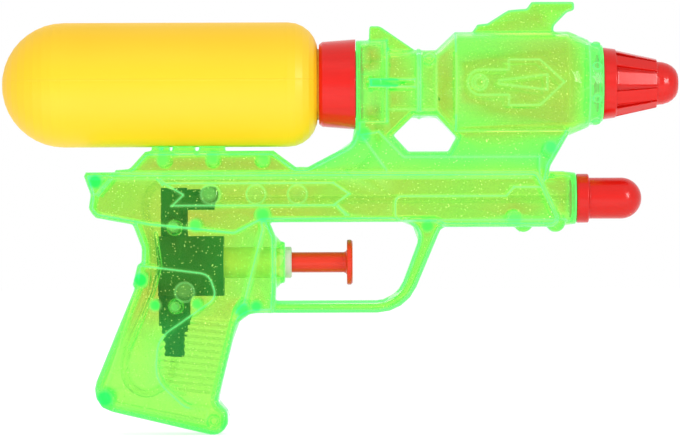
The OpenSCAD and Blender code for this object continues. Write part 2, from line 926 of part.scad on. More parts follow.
module tank_elbow() {
    color([0.93, 0.93, 0.9])
        difference() {
            union() {
                bar_x(web_x - 1, web_x, barrel_z, 9);
                bar_x(web_x - 0.5, elbow_x, barrel_z, 6);
                bar_z(elbow_x, barrel_z - 10, barrel_z + 3, 6);
            }
            bar_x(web_x - 2, elbow_x, barrel_z, way_d);
            bar_z(elbow_x, barrel_z - 11, barrel_z + 0.6, way_d);
            bar_z(elbow_x, barrel_z - 11, barrel_z - 4, hose_d + 2 * fit_gap);
        }
}

// Smooth run through the hose's fixing points
inlet_points = [
    [valve_x, seat_z - 8],
    [valve_x, seat_z - 11],
    [-1.4, -13.6],
    [-5.4, -20],
    [-11.4, -22.2],
    [-17, -18.8],
    [-18.6, -11.6],
    [-16.4, -3.4],
    [-12.6, 5],
    [-9.6, 12.6],
    [-8.5, 19],
    [-8.4, 26],
    [-9, 34],
    [-10.6, 40],
    [-11, 45.6],
    [-8.6, 50.8],
    [-3.2, hose_z - 0.5],
    [3, hose_z],
    [24, hose_z],
    [50, hose_z],
    [59, hose_z + 1],
    [66.6, hose_z + 4.6],
    [71, hose_z + 11],
    [elbow_x, barrel_z - 14],
    [elbow_x, barrel_z - 7]
];

function curve_at(p, i, t) =
    let (
        n = len(p),
        a = p[max(i - 1, 0)],
        b = p[i],
        c = p[i + 1],
        d = p[min(i + 2, n - 1)]
    )
    (2 * b + (c - a) * t + (2 * a - 5 * b + 4 * c - d) * t * t + (3 * b - a - 3 * c + d) * t * t * t) / 2;

inlet_path = concat(
    [for (i = [0:len(inlet_points) - 2])
        for (t = norm(inlet_points[i + 1] - inlet_points[i]) > 4 ? [0, 0.5] : [0])
            let (q = curve_at(inlet_points, i, t))
            [q[0], 0, q[1]]],
    [[elbow_x, 0, barrel_z - 7]]
);

module inlet_hose() {
    color([0.9, 0.95, 0.95, 0.6])
        difference() {
            swept(inlet_path, hose_r, 10);
            swept(inlet_path, hose_bore / 2, 6);
        }
}

module outlet_hose() {
    color([0.9, 0.95, 0.95, 0.6])
        turned(nozzle_z)
            translate([hose_bore / 2, arm_front - 5.1])
                square([hose_r - hose_bore / 2, muzzle_x + 6 - arm_front + 5.1]);
}

module nozzle_cap() {
    color([0.92, 0.12, 0.1])
        difference() {
            union() {
                turned(nozzle_z)
                    polygon([
                        [0, muzzle_x - bulkhead - 0.95],
                        [6.8, muzzle_x - bulkhead - 0.95],
                        [6.8, muzzle_x - bulkhead - 0.15],
                        [5.5, muzzle_x - bulkhead - 0.15],
                        [5.5, muzzle_x + 0.1],
                        [nozzle_ring_d / 2 - 0.4, muzzle_x + 0.1],
                        [nozzle_ring_d / 2, muzzle_x + 0.5],
                        [nozzle_ring_d / 2, muzzle_x + nozzle_ring_length - 0.4],
                        [nozzle_ring_d / 2 - 0.4, muzzle_x + nozzle_ring_length],
                        [0, muzzle_x + nozzle_ring_length]
                    ]);
                bar_x(
                    muzzle_x + 1,
                    muzzle_x + nozzle_ring_length + nozzle_length - nozzle_d / 2,
                    nozzle_z,
                    nozzle_d
                );
                translate([muzzle_x + nozzle_ring_length + nozzle_length - nozzle_d / 2, 0, nozzle_z])
                    sphere(d = nozzle_d);
            }
            bar_x(muzzle_x - 8, muzzle_x + 6.1, nozzle_z, hose_d + 2 * fit_gap);
            bar_x(muzzle_x, muzzle_x + nozzle_ring_length + nozzle_length - 4, nozzle_z, way_d);
            bar_x(muzzle_x, muzzle_x + 2 * nozzle_length, nozzle_z, jet_d);
        }
}

module nose_cone() {
    cone_x = barrel_front + 4.6;
    tip_x = cone_x + cone_length;
    stave = 360 / flutes;
    color([0.92, 0.12, 0.1])
        difference() {
            union() {
                turned(barrel_z)
                    polygon([
                        [0, barrel_front - bulkhead - 0.95],
                        [10.4, barrel_front - bulkhead - 0.95],
                        [10.4, barrel_front - bulkhead - 0.15],
                        [9, barrel_front - bulkhead - 0.15],
                        [9, barrel_front + 0.1],
                        [barrel_front_d / 2 - 0.8, barrel_front + 0.1],
                        [cone_d / 2 + 0.5, cone_x],
                        [cone_d / 2 - 1.5, cone_x],
                        [cone_front_d / 2 - 0.7, tip_x],
                        each [for (a = [0:15:75])
                            [2 + (cone_front_d / 2 - 2.7) * cos(a), tip_x + tip_length * sin(a)]],
                        [2, tip_x + tip_length],
                        [0, tip_x + tip_length]
                    ]);
                // flat staves, parted by grooves that narrow to the front
                difference() {
                    translate([cone_x - 0.5, 0, barrel_z])
                        rotate([-8, 0, 0])
                            rotate([0, 90, 0])
                                cylinder(
                                    h = cone_length + 0.1,
                                    r1 = cone_d / 2 / cos(stave / 2),
                                    r2 = cone_front_d / 2 / cos(stave / 2),
                                    $fn = flutes
                                );
                    for (i = [0:flutes - 1])
                        translate([0, 0, barrel_z])
                            rotate([stave * i - 8, 0, 0])
                                translate([0, 0, -far])
                                    linear_extrude(far - 4)
                                        polygon([
                                            [cone_x, -1.2],
                                            [cone_x, 1.2],
                                            [tip_x + 1, 0.4],
                                            [tip_x + 1, -0.4]
                                        ]);
                }
            }
            turned(barrel_z)
                polygon([
                    [0, barrel_front - bulkhead - 3],
                    [7.4, barrel_front - bulkhead - 3],
                    [7.4, cone_x],
                    [cone_front_d / 2 - 2.6, tip_x],
                    [0, tip_x]
                ]);
        }
}

module plunger() {
    groove_r = bore_d / 2 - oring_cord;
    groove_x = head_front - head_length / 2;
    color([0.88, 0.2, 0.12])
        turned(plunger_z)
            polygon([
                [0, head_front - head_length - 3],
                [2, head_front - head_length - 3],
                [2.2, head_front - head_length],
                [bore_d / 2 - run_gap, head_front - head_length],
                [bore_d / 2 - run_gap, groove_x - oring_cord / 2 - 0.1],
                [groove_r, groove_x - oring_cord / 2 - 0.1],
                [groove_r, groove_x + oring_cord / 2 + 0.1],
                [bore_d / 2 - run_gap, groove_x + oring_cord / 2 + 0.1],
                [bore_d / 2 - run_gap, head_front],
                [rod_d / 2, head_front],
                [rod_d / 2, pad_x - 1.2],
                [rod_d / 2 + 0.3, pad_x - 0.4],
                [rod_d / 2 + 0.9, pad_x],
                [pad_d / 2 - 0.3, pad_x],
                [pad_d / 2, pad_x + 0.3],
                [pad_d / 2, pad_x + pad_t - 0.6],
                [pad_d / 2 - 0.6, pad_x + pad_t],
                [0, pad_x + pad_t]
            ]);
}

module plunger_seal() {
    color([0.12, 0.12, 0.12])
        turned(plunger_z)
            translate([bore_d / 2 - oring_cord / 2 - 0.02, head_front - head_length / 2])
                circle(d = oring_cord - 0.08);
}

// Coil as [way along, angle]: its first and last curls lie closer than the rest
function coil(curls, length, wire) =
    [for (k = [0:8 * curls])
        let (
            f = k / (8 * curls),
            pitch_end = wire + 0.46,
            dead = 1 / curls,
            run = length - wire - 2 * pitch_end,
            x = f < dead ? pitch_end * f / dead
                : f > 1 - dead ? length - wire - pitch_end * (1 - f) / dead
                : pitch_end + run * (f - dead) / (1 - 2 * dead)
        )
        [x + wire / 2, 360 * f * curls]];

spring_back = chamber_end + 0.05;
spring_front = head_front - head_length - 0.05;
spring_turns = coil(spring_curls, spring_front - spring_back, spring_wire);
spring_gap = min([for (k = [8:len(spring_turns) - 1])
    spring_turns[k][0] - spring_turns[k - 8][0] - spring_wire]);
echo(spring_gap = spring_gap);

module return_spring() {
    color([0.75, 0.77, 0.8])
        swept(
            [for (c = spring_turns)
                [spring_back + c[0], spring_d / 2 * cos(c[1]), plunger_z + spring_d / 2 * sin(c[1])]],
            spring_wire / 2,
            6
        );
}

module pump_cylinder() {
    color([0.93, 0.91, 0.86])
        turned(plunger_z)
            polygon([
                [bore_d / 2, 8],
                [cylinder_d / 2, 8],
                [cylinder_d / 2, cylinder_front - 0.4],
                [cylinder_d / 2 - 0.4, cylinder_front],
                [rod_d / 2 + run_gap, cylinder_front],
                [rod_d / 2 + run_gap, head_front + 0.1],
                [bore_d / 2, head_front + 0.1]
            ]);
}

module pump_body() {
    color([0.06, 0.07, 0.07])
        difference() {
            union() {
                translate([block_back, -block_half, block_bottom])
                    cube([block_front - block_back, 2 * block_half, block_top - block_bottom]);
                bar_z(valve_x, block_bottom - socket_drop, block_bottom + 1, socket_d);
            }
            bar_x(8, block_front + 1, plunger_z, cylinder_d + 2 * fit_gap);
            bar_x(chamber_end, 9, plunger_z, bore_d);
            bar_z(valve_x, plunger_z, block_top + 1, way_d);
            translate([valve_x - 2.4, -0.9, block_bottom - 2.6])
                cube([4.8, 1.8, plunger_z - block_bottom]);
            bar_z(valve_x, block_bottom - socket_drop - 1.4, seat_z + ball_d + ball_lift + 0.8, 6.2);
        }
}

// Height of a ball's centre over the rim of the hole it closes
ball_rise = sqrt(pow(ball_d / 2, 2) - pow(way_d / 2, 2)) + 0.02;

module inlet_seat() {
    color([0.06, 0.07, 0.07])
        difference() {
            union() {
                bar_z(valve_x, block_bottom - socket_drop - 0.2, seat_z, 6.2 - 2 * fit_gap);
                bar_z(valve_x, block_bottom - socket_drop - 2.8, block_bottom - socket_drop - 0.1, 9.2);
                bar_z(valve_x, seat_z - 14.2, block_bottom - socket_drop - 2.4, 7);
            }
            bar_z(valve_x, seat_z - 20, seat_z + 1, way_d);
            bar_z(valve_x, seat_z - 20, seat_z - 8 + 0.1, hose_d + 2 * fit_gap);
        }
}

module inlet_ball() {
    color([0.85, 0.86, 0.88])
        translate([valve_x, 0, seat_z + ball_rise])
            sphere(d = ball_d);
}

module outlet_elbow() {
    color([0.06, 0.07, 0.07])
        difference() {
            union() {
                bar_z(valve_x, block_top, nozzle_z + riser_top, riser_d);
                bar_x(valve_x, arm_front, nozzle_z, arm_d);
            }
            bar_z(valve_x, block_top - 1, nozzle_z - 2.4, 5.4);
            bar_z(valve_x, block_top, nozzle_z + 0.8, way_d);
            bar_x(valve_x, arm_front + 0.5, nozzle_z, way_d);
            bar_x(arm_front - 5.2, arm_front + 0.5, nozzle_z, hose_d + 2 * fit_gap);
        }
}

module outlet_ball() {
    color([0.85, 0.86, 0.88])
        translate([valve_x, 0, block_top + ball_rise])
            sphere(d = ball_d);
}

valve_back = block_top + ball_rise + ball_d / 2 - 0.3;
valve_turns = coil(valve_curls, nozzle_z - 2.45 - valve_back, valve_wire);
valve_gap = min([for (k = [8:len(valve_turns) - 1])
    valve_turns[k][0] - valve_turns[k - 8][0] - valve_wire]);
echo(valve_gap = valve_gap);

module outlet_spring() {
    color([0.75, 0.77, 0.8])
        swept(
            [for (c = valve_turns) [valve_x + 1.9 * cos(c[1]), 1.9 * sin(c[1]), valve_back + c[0]]],
            valve_wire / 2,
            6
        );
}

right_shell();
left_shell();
tank();
tank_seal();
tank_collar();
tank_elbow();
inlet_hose();
outlet_hose();
nozzle_cap();
nose_cone();
plunger();
plunger_seal();
return_spring();
pump_cylinder();
pump_body();
inlet_seat();
inlet_ball();
outlet_elbow();
outlet_ball();
outlet_spring();
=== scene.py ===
"""Looks of the water squirter: a clear neon body with glitter in its walls, a blow-moulded
tank, glossy red caps and the pump that shows through the walls."""
import math

import bmesh
import bpy
import numpy as np
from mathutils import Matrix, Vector
from mathutils.bvhtree import BVHTree
from mathutils.kdtree import KDTree


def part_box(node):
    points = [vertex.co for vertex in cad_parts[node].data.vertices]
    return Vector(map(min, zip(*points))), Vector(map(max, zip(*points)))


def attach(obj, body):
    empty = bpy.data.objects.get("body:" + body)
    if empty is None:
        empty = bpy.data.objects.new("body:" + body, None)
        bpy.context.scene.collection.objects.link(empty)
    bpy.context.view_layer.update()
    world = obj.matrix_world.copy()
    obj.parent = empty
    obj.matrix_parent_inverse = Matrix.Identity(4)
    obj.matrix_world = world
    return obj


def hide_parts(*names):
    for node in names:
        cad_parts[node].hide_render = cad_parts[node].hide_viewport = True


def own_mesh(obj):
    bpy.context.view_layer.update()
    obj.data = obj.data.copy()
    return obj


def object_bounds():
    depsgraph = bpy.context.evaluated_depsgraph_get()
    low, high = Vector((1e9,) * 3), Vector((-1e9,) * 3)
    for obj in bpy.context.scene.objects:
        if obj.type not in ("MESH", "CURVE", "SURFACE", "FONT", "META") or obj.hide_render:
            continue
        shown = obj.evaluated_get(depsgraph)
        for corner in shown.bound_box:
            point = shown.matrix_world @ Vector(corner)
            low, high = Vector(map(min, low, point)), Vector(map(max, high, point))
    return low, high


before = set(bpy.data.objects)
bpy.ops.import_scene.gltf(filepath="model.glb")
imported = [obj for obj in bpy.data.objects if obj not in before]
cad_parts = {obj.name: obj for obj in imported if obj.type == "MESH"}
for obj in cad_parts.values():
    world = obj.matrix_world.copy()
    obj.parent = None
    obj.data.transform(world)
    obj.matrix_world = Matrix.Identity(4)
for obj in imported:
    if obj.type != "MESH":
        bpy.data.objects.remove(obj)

bl_info = {
    "name": "Water squirter",
    "version": (1, 0, 0),
    "blender": (4, 5, 0),
    "location": "3D View > Sidebar > Squirter",
    "description": "Dresses a packed water squirter and sets its studio",
    "category": "Object",
}

CAD_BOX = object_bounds()
MM = 0.001

# Middle of the photo's view, its width at the object, the camera's distance and how far it leans
VIEW_X = 58.0 * MM
VIEW_Z = 39.6 * MM
VIEW_WIDTH = 241.4 * MM
VIEW_DISTANCE = 1.5
VIEW_ROLL = math.radians(0.2)
SENSOR_WIDTH = 36.0
FARTHEST_SEEN = 20.0

# Floor: half its width, its own light where it is seen, and its grey
FLOOR_HALF = 3.0
FLOOR_GLOW = 0.62
FLOOR_GREY = 0.75
# Light of the white room where it isn't seen
ROOM_LIGHT = 0.62
# Light crosses many faces of the clear walls and hoses
BOUNCES = 32

# Soft lamps, as name, place and aim in metres, width, height and power in watts. The last one
# is the light thrown back by a white table in front
AIM = (VIEW_X, 0.0, VIEW_Z)
LAMPS = (
    ("key", (-0.3, -0.65, 0.9), AIM, 0.6, 0.5, 2.8),
    ("fill", (0.6, -0.6, 0.75), AIM, 0.5, 0.5, 1.5),
    ("back", (0.0, 0.9, 0.6), AIM, 0.8, 0.5, 2.0),
    ("table", (0.06, -0.33, -0.03), (0.06, -0.33, 1.0), 1.0, 0.5, 2.4),
)
# A window to the right, seen only as a highlight along round forms
WINDOW = ("window", (0.588, -0.57, 0.23), AIM, 0.12, 0.3, 2.4)

# Most triangles of a half shell and of a red cap, and how often and how far their cells are
# smoothed
SHELL_TRIANGLES = 190000
SHELL_ROUNDS = 3
CAP_TRIANGLES = 120000
CAP_ROUNDS = 2
SMOOTHING = 0.5

# Corners of a solid's triangles that are closer than this are one corner
SAME_CORNER = 0.001 * MM
# An edge turns by more than this, and is followed by points this far apart
EDGE_TURN = math.radians(24)
EDGE_SPACING = 0.25 * MM

# Thinning keeps the cells near a place: their width in steps, within how many widths all of
# them stay, over how many more they thin out, and how strongly those are held
KEPT_CELL = 1.5
KEPT_REACH = 1.5
KEPT_BORDER = 2
KEPT_HOLD = 0.4
# Farther than this from its solid, a point of a moulding is astray
STRAY = 0.25 * MM

# Marks of painted light and shade on the clear walls that their finish reads, and how bright an edge is
# marked
MARKS = ("edge", "halo", "rib", "post", "near")
BRIGHT = 1.0
HALF_BRIGHT = 0.5
FAINT = 0.25
# The body's painted glow everywhere, and what each mark adds to it
BODY_GLOW = 0.058
MARK_GLOWS = (("near", 0.075), ("rib", 0.05), ("halo", 0.08), ("post", 0.4), ("edge", 0.32))
# Share of the painted bright edge tint between close walls and beside edges, and of the posts' green
MARK_TINTS = (("near", 0.32), ("halo", 0.2))
POST_TINT = 1.15
# What posts and edges take from the clearness
MARK_CLOUDS = (("post", -0.75), ("edge", -0.45))

# Distance from the middle plane past which an edge lies on the outside of the grip or the drum
GRIP_FACE = 10.3 * MM
DRUM_FACE = 14.5 * MM
# Side fin of the neck, seen end on: its greatest X and least distance from the middle plane in millimetres,
# and how strongly it is painted green and glowing
FIN_FRONT = 88.0
FIN_FACE = 16.2
FIN_GREEN = 0.8
# A wall stands across the body where the sideways part of its normal is under the first value. Its painted
# brightness rises over the second, up to the third outside the body and the fourth inside
WALL_LEAN = 0.6
WALL_RANGE = 0.5
WALL_OUTSIDE = 0.8
WALL_INSIDE = 0.3
# Where the mark over a post ends, in radii, or over a rib, in half widths, and its soft border
POST_END = 1.45
POST_BORDER = 0.9
RIB_END = 1.3
RIB_BORDER = 0.6
# Points kept fine over a post: their distances from its middle, in radii, and their number
SPOT_RINGS = (1.2, 0.8, 0.3)
SPOT_COUNT = 36
# A distance from the middle plane that is outside the body
OUTSIDE = 60 * MM
# How far from a surface a ray starts, along the normal and to the side
RAY_OUT = 0.15 * MM
RAY_ASIDE = 0.2 * MM

# Glitter: greatest tilt and turn of a flake in radians, width of the smallest flake as a share
# of the widest, and the first shell's seed
FLAKE_TILT = 0.3
FLAKE_TURN = 3.1
FLAKE_LEAST = 0.55
FLAKE_SEED = 3

# Sides of a wire and of a hose, points on a curl, and steps between two points of the inlet
# hose's route and along the straight outlet hose
WIRE_SIDES = 12
HOSE_SIDES = 20
CURL_STEPS = 28
ROUTE_STEPS = 6
OUTLET_STEPS = 40
# Gap between the close curls at a spring's ends
END_GAP = 0.46 * MM

# The tank's mould seam lies this far above mid height, in a line of this half width
SEAM_RISE = 1.2 * MM
SEAM_WIDTH = 0.5 * MM
# The pump cylinder's rim keeps its white for the first length, and past the second it is painted with green
# light
RIM_WHITE = 2 * MM
RIM_GREEN = 4 * MM

# Places of the two colours and of the result among a Mix node's sockets
MIX_A = 6
MIX_B = 7
MIXED = 2
# Range that most values of a noise lie in
SPREAD = {"From Min": 0.3, "From Max": 0.7}

# Middle line of the inlet hose, as X and Z in millimetres: from the spigot under the pump
# down round the foot of the grip, up its back, along the receiver and up to the neck
INLET_ROUTE = (
    (-0.8, -3.0), (-0.8, -6.0), (-1.4, -13.6), (-5.4, -20.0), (-11.4, -22.2), (-17.0, -18.8),
    (-18.6, -11.6), (-16.4, -3.4), (-12.6, 5.0), (-9.6, 12.6), (-8.5, 19.0), (-8.4, 26.0),
    (-9.0, 34.0), (-10.6, 40.0), (-11.0, 45.6), (-8.6, 50.8), (-3.2, 53.5), (3.0, 54.0),
    (24.0, 54.0), (50.0, 54.0), (59.0, 55.0), (66.6, 58.6), (71.0, 65.0), (72.2, 73.2),
    (72.2, 80.2),
)

# Outline of the ribbed field on the grip, as X and Z in millimetres
RIB_FIELD = (
    (12.4, 9.7), (-2.3, -0.5), (-4.2, -2.2), (-5.4, -4.4), (-6.0, -6.9), (-6.4, -12.2),
    (-6.1, -15.1), (-5.2, -17.6), (-3.4, -19.9), (2.2, -25.1), (3.8, -26.1), (5.7, -26.6),
    (20.0, -26.8), (24.0, 5.0),
)

# Back and foot of the grip's raised panel, where its step fades into the rounded edge and gets only a faint
# painted highlight
FADED_STEP = (
    (-40.0, 19.0), (-10.8, 19.0), (-23.0, -22.5), (-5.0, -22.5), (4.6, -30.0), (4.6, -26.2),
    (40.0, -26.2), (40.0, -60.0), (-40.0, -60.0),
)

# Where the relief on the drum lies, whose low steps get only half the painted highlight
DRUM_RELIEF = ((98.0, 76.0), (138.0, 76.0), (138.0, 98.0), (98.0, 98.0))

# Posts inside the body that show through its wall, as X, Z and radius in millimetres and how strongly each
# is painted green and glowing
POSTS = (
    (-12.4, 18.2, 2.6, 0.9),
    (-7.3, 9.2, 2.0, 0.8),
    (-0.3, 8.6, 1.6, 0.55),
    (7.4, 9.6, 1.8, 0.7),
    (3.1, 14.2, 2.6, 0.25),
    (23.4, 7.4, 2.6, 0.8),
    (28.3, 8.6, 2.0, 0.8),
    (-0.8, 37.0, 1.7, 0.5),
    (6.9, 37.4, 2.2, 0.7),
    (30.8, 41.0, 2.6, 0.75),
    (-28.2, 52.9, 2.6, 0.9),
    (-4.5, 60.6, 2.2, 0.55),
    (13.0, 61.0, 2.2, 0.6),
    (31.0, 60.6, 2.2, 0.55),
    (12.0, 48.5, 2.6, 0.42),
    (28.1, 48.5, 2.6, 0.2),
    (43.0, 48.5, 2.6, 0.15),
    (66.3, 69.6, 2.6, 0.7),
    (89.0, 37.0, 2.2, 0.7),
    (119.5, 39.5, 2.6, 0.5),
    (132.6, 64.6, 2.2, 0.7),
    (-25.2, -23.6, 3.0, 0.9),
)

# Ribs and rings that stand across the barrels, as X, half width, least and greatest Z in millimetres and how
# strongly each is painted green and glowing: two ribs, the neck's end, the muzzle and the nozzle's seat
CROSS_RIBS = (
    (73.9, 1.6, 70.0, 120.0, 0.25),
    (100.0, 1.2, 70.0, 120.0, 0.25),
    (65.5, 1.6, 70.0, 120.0, 0.5),
    (148.8, 2.0, 66.0, 120.0, 0.4),
    (140.8, 1.4, 36.0, 58.0, 0.5),
)

# Where walls lie close together and the body is given more painted glow, as the least and greatest X, the
# least and greatest Z and the soft border in millimetres, and how strongly: foot of the grip, guard, web
# under the barrel, waist, muzzle, the bumps under it, lower barrel and drum
GLOWS = (
    (-60.0, 42.0, -60.0, 14.0, 20.0, 0.6),
    (20.0, 110.0, 0.0, 38.0, 4.0, 0.45),
    (48.0, 140.0, 55.5, 70.0, 2.5, 0.9),
    (82.0, 94.0, 70.0, 110.0, 3.0, 0.5),
    (141.0, 153.0, 66.0, 110.0, 3.0, 0.7),
    (112.0, 142.0, 34.0, 42.0, 2.0, 0.6),
    (60.0, 142.0, 36.0, 58.0, 3.0, 0.16),
    (92.0, 142.0, 68.0, 106.0, 4.0, 0.14),
)


def linear(code):
    """Linear red, green and blue of an sRGB hex colour."""
    parts = [int(code[i:i + 2], 16) / 255 for i in (1, 3, 5)]
    return tuple(c / 12.92 if c <= 0.04045 else ((c + 0.055) / 1.055) ** 2.4 for c in parts)


def rgba(value):
    """A colour as the four numbers that a socket takes."""
    return (value[0], value[1], value[2], 1.0)


def scaled(value, factor):
    """A colour made darker or lighter, as a socket takes it."""
    return rgba([min(1.0, factor * c) for c in value])


def colour_setting(name, description, code):
    """A property that holds a colour, given as sRGB hex."""
    return bpy.props.FloatVectorProperty(
        name=name, description=description, subtype="COLOR", default=linear(code)
    )


def length_setting(name, description, size):
    """A property that holds a length, given in millimetres."""
    return bpy.props.FloatProperty(
        name=name, description=description, unit="LENGTH", default=size * MM
    )


class SquirterColours(bpy.types.PropertyGroup):
    """Colours of the finishes"""

    clear_green: colour_setting("Clear green", "What one wall of the body lets through", "#DCD086")
    # Painted light: the pale bright green painted on the body's edges, on walls across it and beside close
    # walls
    painted_edge_green: colour_setting(
        "Clear green at edges",
        "What the body lets through along its edges, where light is led round",
        "#74F592",
    )
    # Painted glow, though the body is no lamp: its colour over the whole body, and along edges, steps and
    # close walls
    neon: colour_setting("Neon glow", "Light that the dye in the body gives back", "#44FF5A")
    painted_edge_glow: colour_setting(
        "Neon glow at edges", "Light that leaves the body along its edges and steps", "#40FF88"
    )
    post: colour_setting("Posts", "Thick green of the posts between the shells", "#14D84E")
    tank_yellow: colour_setting("Tank yellow", "Opaque polyethylene of the tank", "#FFCE16")
    cap_red: colour_setting("Cap red", "Collar, nose and nozzle", "#DE1409")
    trigger_red: colour_setting("Trigger red", "Plunger", "#EC3418")
    natural: colour_setting("Natural white", "Undyed polyethylene of the pump cylinder", "#EFE8DC")
    pump_dark: colour_setting("Pump", "Dark moulding of the pump", "#2A3A30")
    hose_clear: colour_setting("Hose", "Clear soft PVC of the hoses", "#FAFCF4")
    steel: colour_setting("Steel", "Spring wire and valve balls", "#C9CCD0")
    rubber: colour_setting("Rubber", "Washer and O-ring", "#1B1B1C")


class SquirterSizes(bpy.types.PropertyGroup):
    """Sizes of what the looks add"""

    shell_step: length_setting(
        "Shell step", "Size of the cells that the body's surface is drawn from", 0.36
    )
    # Reach of the painted highlight along the body's edges and of the painted glow beside them, and of the
    # painted shade line along a rib
    edge_width: length_setting(
        "Edge width", "How far the bright line along an edge of the body reaches", 0.8
    )
    edge_reach: length_setting(
        "Edge reach", "How far the fainter glow beside an edge of the body reaches", 3.2
    )
    rib_width: length_setting("Rib line", "How far the line along a rib of the grip reaches", 0.28)
    flake: length_setting("Glitter flake", "Width of the widest flakes of glitter", 0.4)
    flake_depth: length_setting("Glitter depth", "How deep in the wall a flake lies", 0.7)
    flake_count: bpy.props.FloatProperty(
        name="Flakes on a square metre",
        description="How thickly the glitter is strewn over the walls",
        default=110000,
    )
    cap_step: length_setting(
        "Cap step", "Size of the cells that the red mouldings are drawn from", 0.2
    )
    hose: length_setting("Hose", "Outside diameter of the hoses", 3.2)
    hose_wall: length_setting("Hose wall", "Thickness of the hoses' wall", 0.6)
    return_wire: length_setting(
        "Return spring wire", "Thickness of the wire of the plunger's spring", 0.6
    )
    return_curls: bpy.props.IntProperty(
        name="Return spring curls", description="Curls of the plunger's spring", default=13
    )
    valve_wire: length_setting(
        "Valve spring wire", "Thickness of the wire of the outlet valve's spring", 0.4
    )
    valve_curls: bpy.props.IntProperty(
        name="Valve spring curls", description="Curls of the outlet valve's spring", default=5
    )


def node(tree, kind, values=(), **settings):
    """Adds a node with its settings, and sets or links the inputs named in values."""
    made = tree.nodes.new(kind)
    for name, value in settings.items():
        setattr(made, name, value)
    for key, value in dict(values).items():
        if isinstance(value, bpy.types.NodeSocket):
            tree.links.new(value, made.inputs[key])
        else:
            made.inputs[key].default_value = value
    return made


def emptied(owner):
    """The node tree of a material or a world, with nothing in it."""
    owner.use_nodes = True
    owner.node_tree.nodes.clear()
    return owner.node_tree


def principled(name):
    """A new material with one Principled shader, its node tree and that shader."""
    material = bpy.data.materials.new(name)
    tree = emptied(material)
    shader = node(tree, "ShaderNodeBsdfPrincipled")
    node(tree, "ShaderNodeOutputMaterial", {"Surface": shader.outputs["BSDF"]})
    return material, tree, shader


def feed(tree, shader, **values):
    """Sets or links the shader's sockets, whose names are given with _ for a space."""
    for key, value in values.items():
        socket = shader.inputs[key.replace("_", " ")]
        if isinstance(value, bpy.types.NodeSocket):
            tree.links.new(value, socket)
        else:
            socket.default_value = value


def uneven(tree, place, size, detail, strength, height):
    """The normal of a surface with a fine unevenness of one size."""
    noise = node(tree, "ShaderNodeTexNoise", {"Vector": place, "Scale": 1 / size, "Detail": detail})
    values = {"Height": noise.outputs["Fac"], "Strength": strength, "Distance": height}
    return node(tree, "ShaderNodeBump", values).outputs["Normal"]


def mark_sum(tree, marks, total, shares):
    """A value with shares of the marks added in turn, held between 0 and 1."""
    for mark, share in shares:
        values = {0: marks[mark], 1: share, 2: total}
        added = node(tree, "ShaderNodeMath", values, operation="MULTIPLY_ADD", use_clamp=True)
        total = added.outputs[0]
    return total


def neon_polystyrene(colours):
    """Clear injection-moulded polystyrene with a neon dye: see-through and glassy. Its glow is painted:
    faint over the whole body and bright along edges and steps, with painted shade lines along the grip's
    ribs and painted green over the posts."""
    material, tree, shader = principled("neon_polystyrene")
    place = node(tree, "ShaderNodeTexCoord").outputs["Object"]
    marks = {
        mark: node(tree, "ShaderNodeAttribute", attribute_name=mark).outputs["Fac"] for mark in MARKS
    }
    # Moulding flow: the tint drifts over some 30 mm
    flow = node(tree, "ShaderNodeTexNoise", {"Vector": place, "Scale": 1 / (30 * MM), "Detail": 2.0})
    drift = node(
        tree, "ShaderNodeMapRange", {"Value": flow.outputs["Fac"], **SPREAD, "To Min": 0.0, "To Max": 0.2}
    )
    # Glitter too fine to tell apart clouds the wall in spots of some 0.7 mm
    dust = node(tree, "ShaderNodeTexNoise", {"Vector": place, "Scale": 1 / (0.7 * MM), "Detail": 1.0})
    cloud = node(
        tree, "ShaderNodeMapRange", {"Value": dust.outputs["Fac"], **SPREAD, "To Min": 0.95, "To Max": 1.05}
    )
    # The wall is painted with the bright edge tint along its edges, and with some of it beside them and
    # where walls lie close together
    soft = mark_sum(tree, marks, drift.outputs["Result"], MARK_TINTS)
    share = node(tree, "ShaderNodeMath", {0: marks["edge"], 1: soft}, operation="MAXIMUM", use_clamp=True)
    wall = node(
        tree,
        "ShaderNodeMix",
        {"Factor": share.outputs[0], MIX_A: rgba(colours.clear_green), MIX_B: rgba(colours.painted_edge_green)},
        data_type="RGBA",
    )
    # The fine ribs of the grip get a painted shade line, a little darker, and the posts are painted green
    # right through
    lined = node(tree, "ShaderNodeMapRange", {"Value": marks["rib"], "To Min": 1.0, "To Max": 0.9})
    shade = node(
        tree,
        "ShaderNodeMath",
        {0: cloud.outputs["Result"], 1: lined.outputs["Result"]},
        operation="MULTIPLY",
    )
    shaded = node(
        tree, "ShaderNodeVectorMath", {0: wall.outputs[MIXED], "Scale": shade.outputs[0]}, operation="SCALE"
    )
    dyed = node(
        tree, "ShaderNodeMath", {0: marks["post"], 1: POST_TINT}, operation="MULTIPLY", use_clamp=True
    )
    tint = node(
        tree,
        "ShaderNodeMix",
        {"Factor": dyed.outputs[0], MIX_A: shaded.outputs["Vector"], MIX_B: rgba(colours.post)},
        data_type="RGBA",
    )
    # The painted glow is bluer along edges and where walls lie close together
    pale = node(tree, "ShaderNodeMath", {0: marks["edge"], 1: marks["near"]}, operation="MAXIMUM")
    hue = node(
        tree,
        "ShaderNodeMix",
        {"Factor": pale.outputs[0], MIX_A: rgba(colours.neon), MIX_B: rgba(colours.painted_edge_glow)},
        data_type="RGBA",
    )
    # Fine waviness of a polished mould, some 4 mm from crest to crest
    wave = uneven(tree, place, 4 * MM, 1.0, 0.05, 0.3 * MM)
    # Painted glow, though the body is no lamp: faint everywhere and stronger on the marks; posts and edges
    # lose clearness so that their painted colour shows
    feed(
        tree,
        shader,
        Base_Color=tint.outputs[MIXED],
        Roughness=0.03,
        IOR=1.16,
        Transmission_Weight=mark_sum(tree, marks, 1.0, MARK_CLOUDS),
        Specular_Tint=(0.4, 1.0, 0.45, 1.0),
        Coat_Weight=0.12,
        Coat_Roughness=0.04,
        Coat_IOR=1.5,
        Emission_Color=hue.outputs[MIXED],
        Emission_Strength=mark_sum(tree, marks, BODY_GLOW, MARK_GLOWS),
        Normal=wave,
    )
    return material


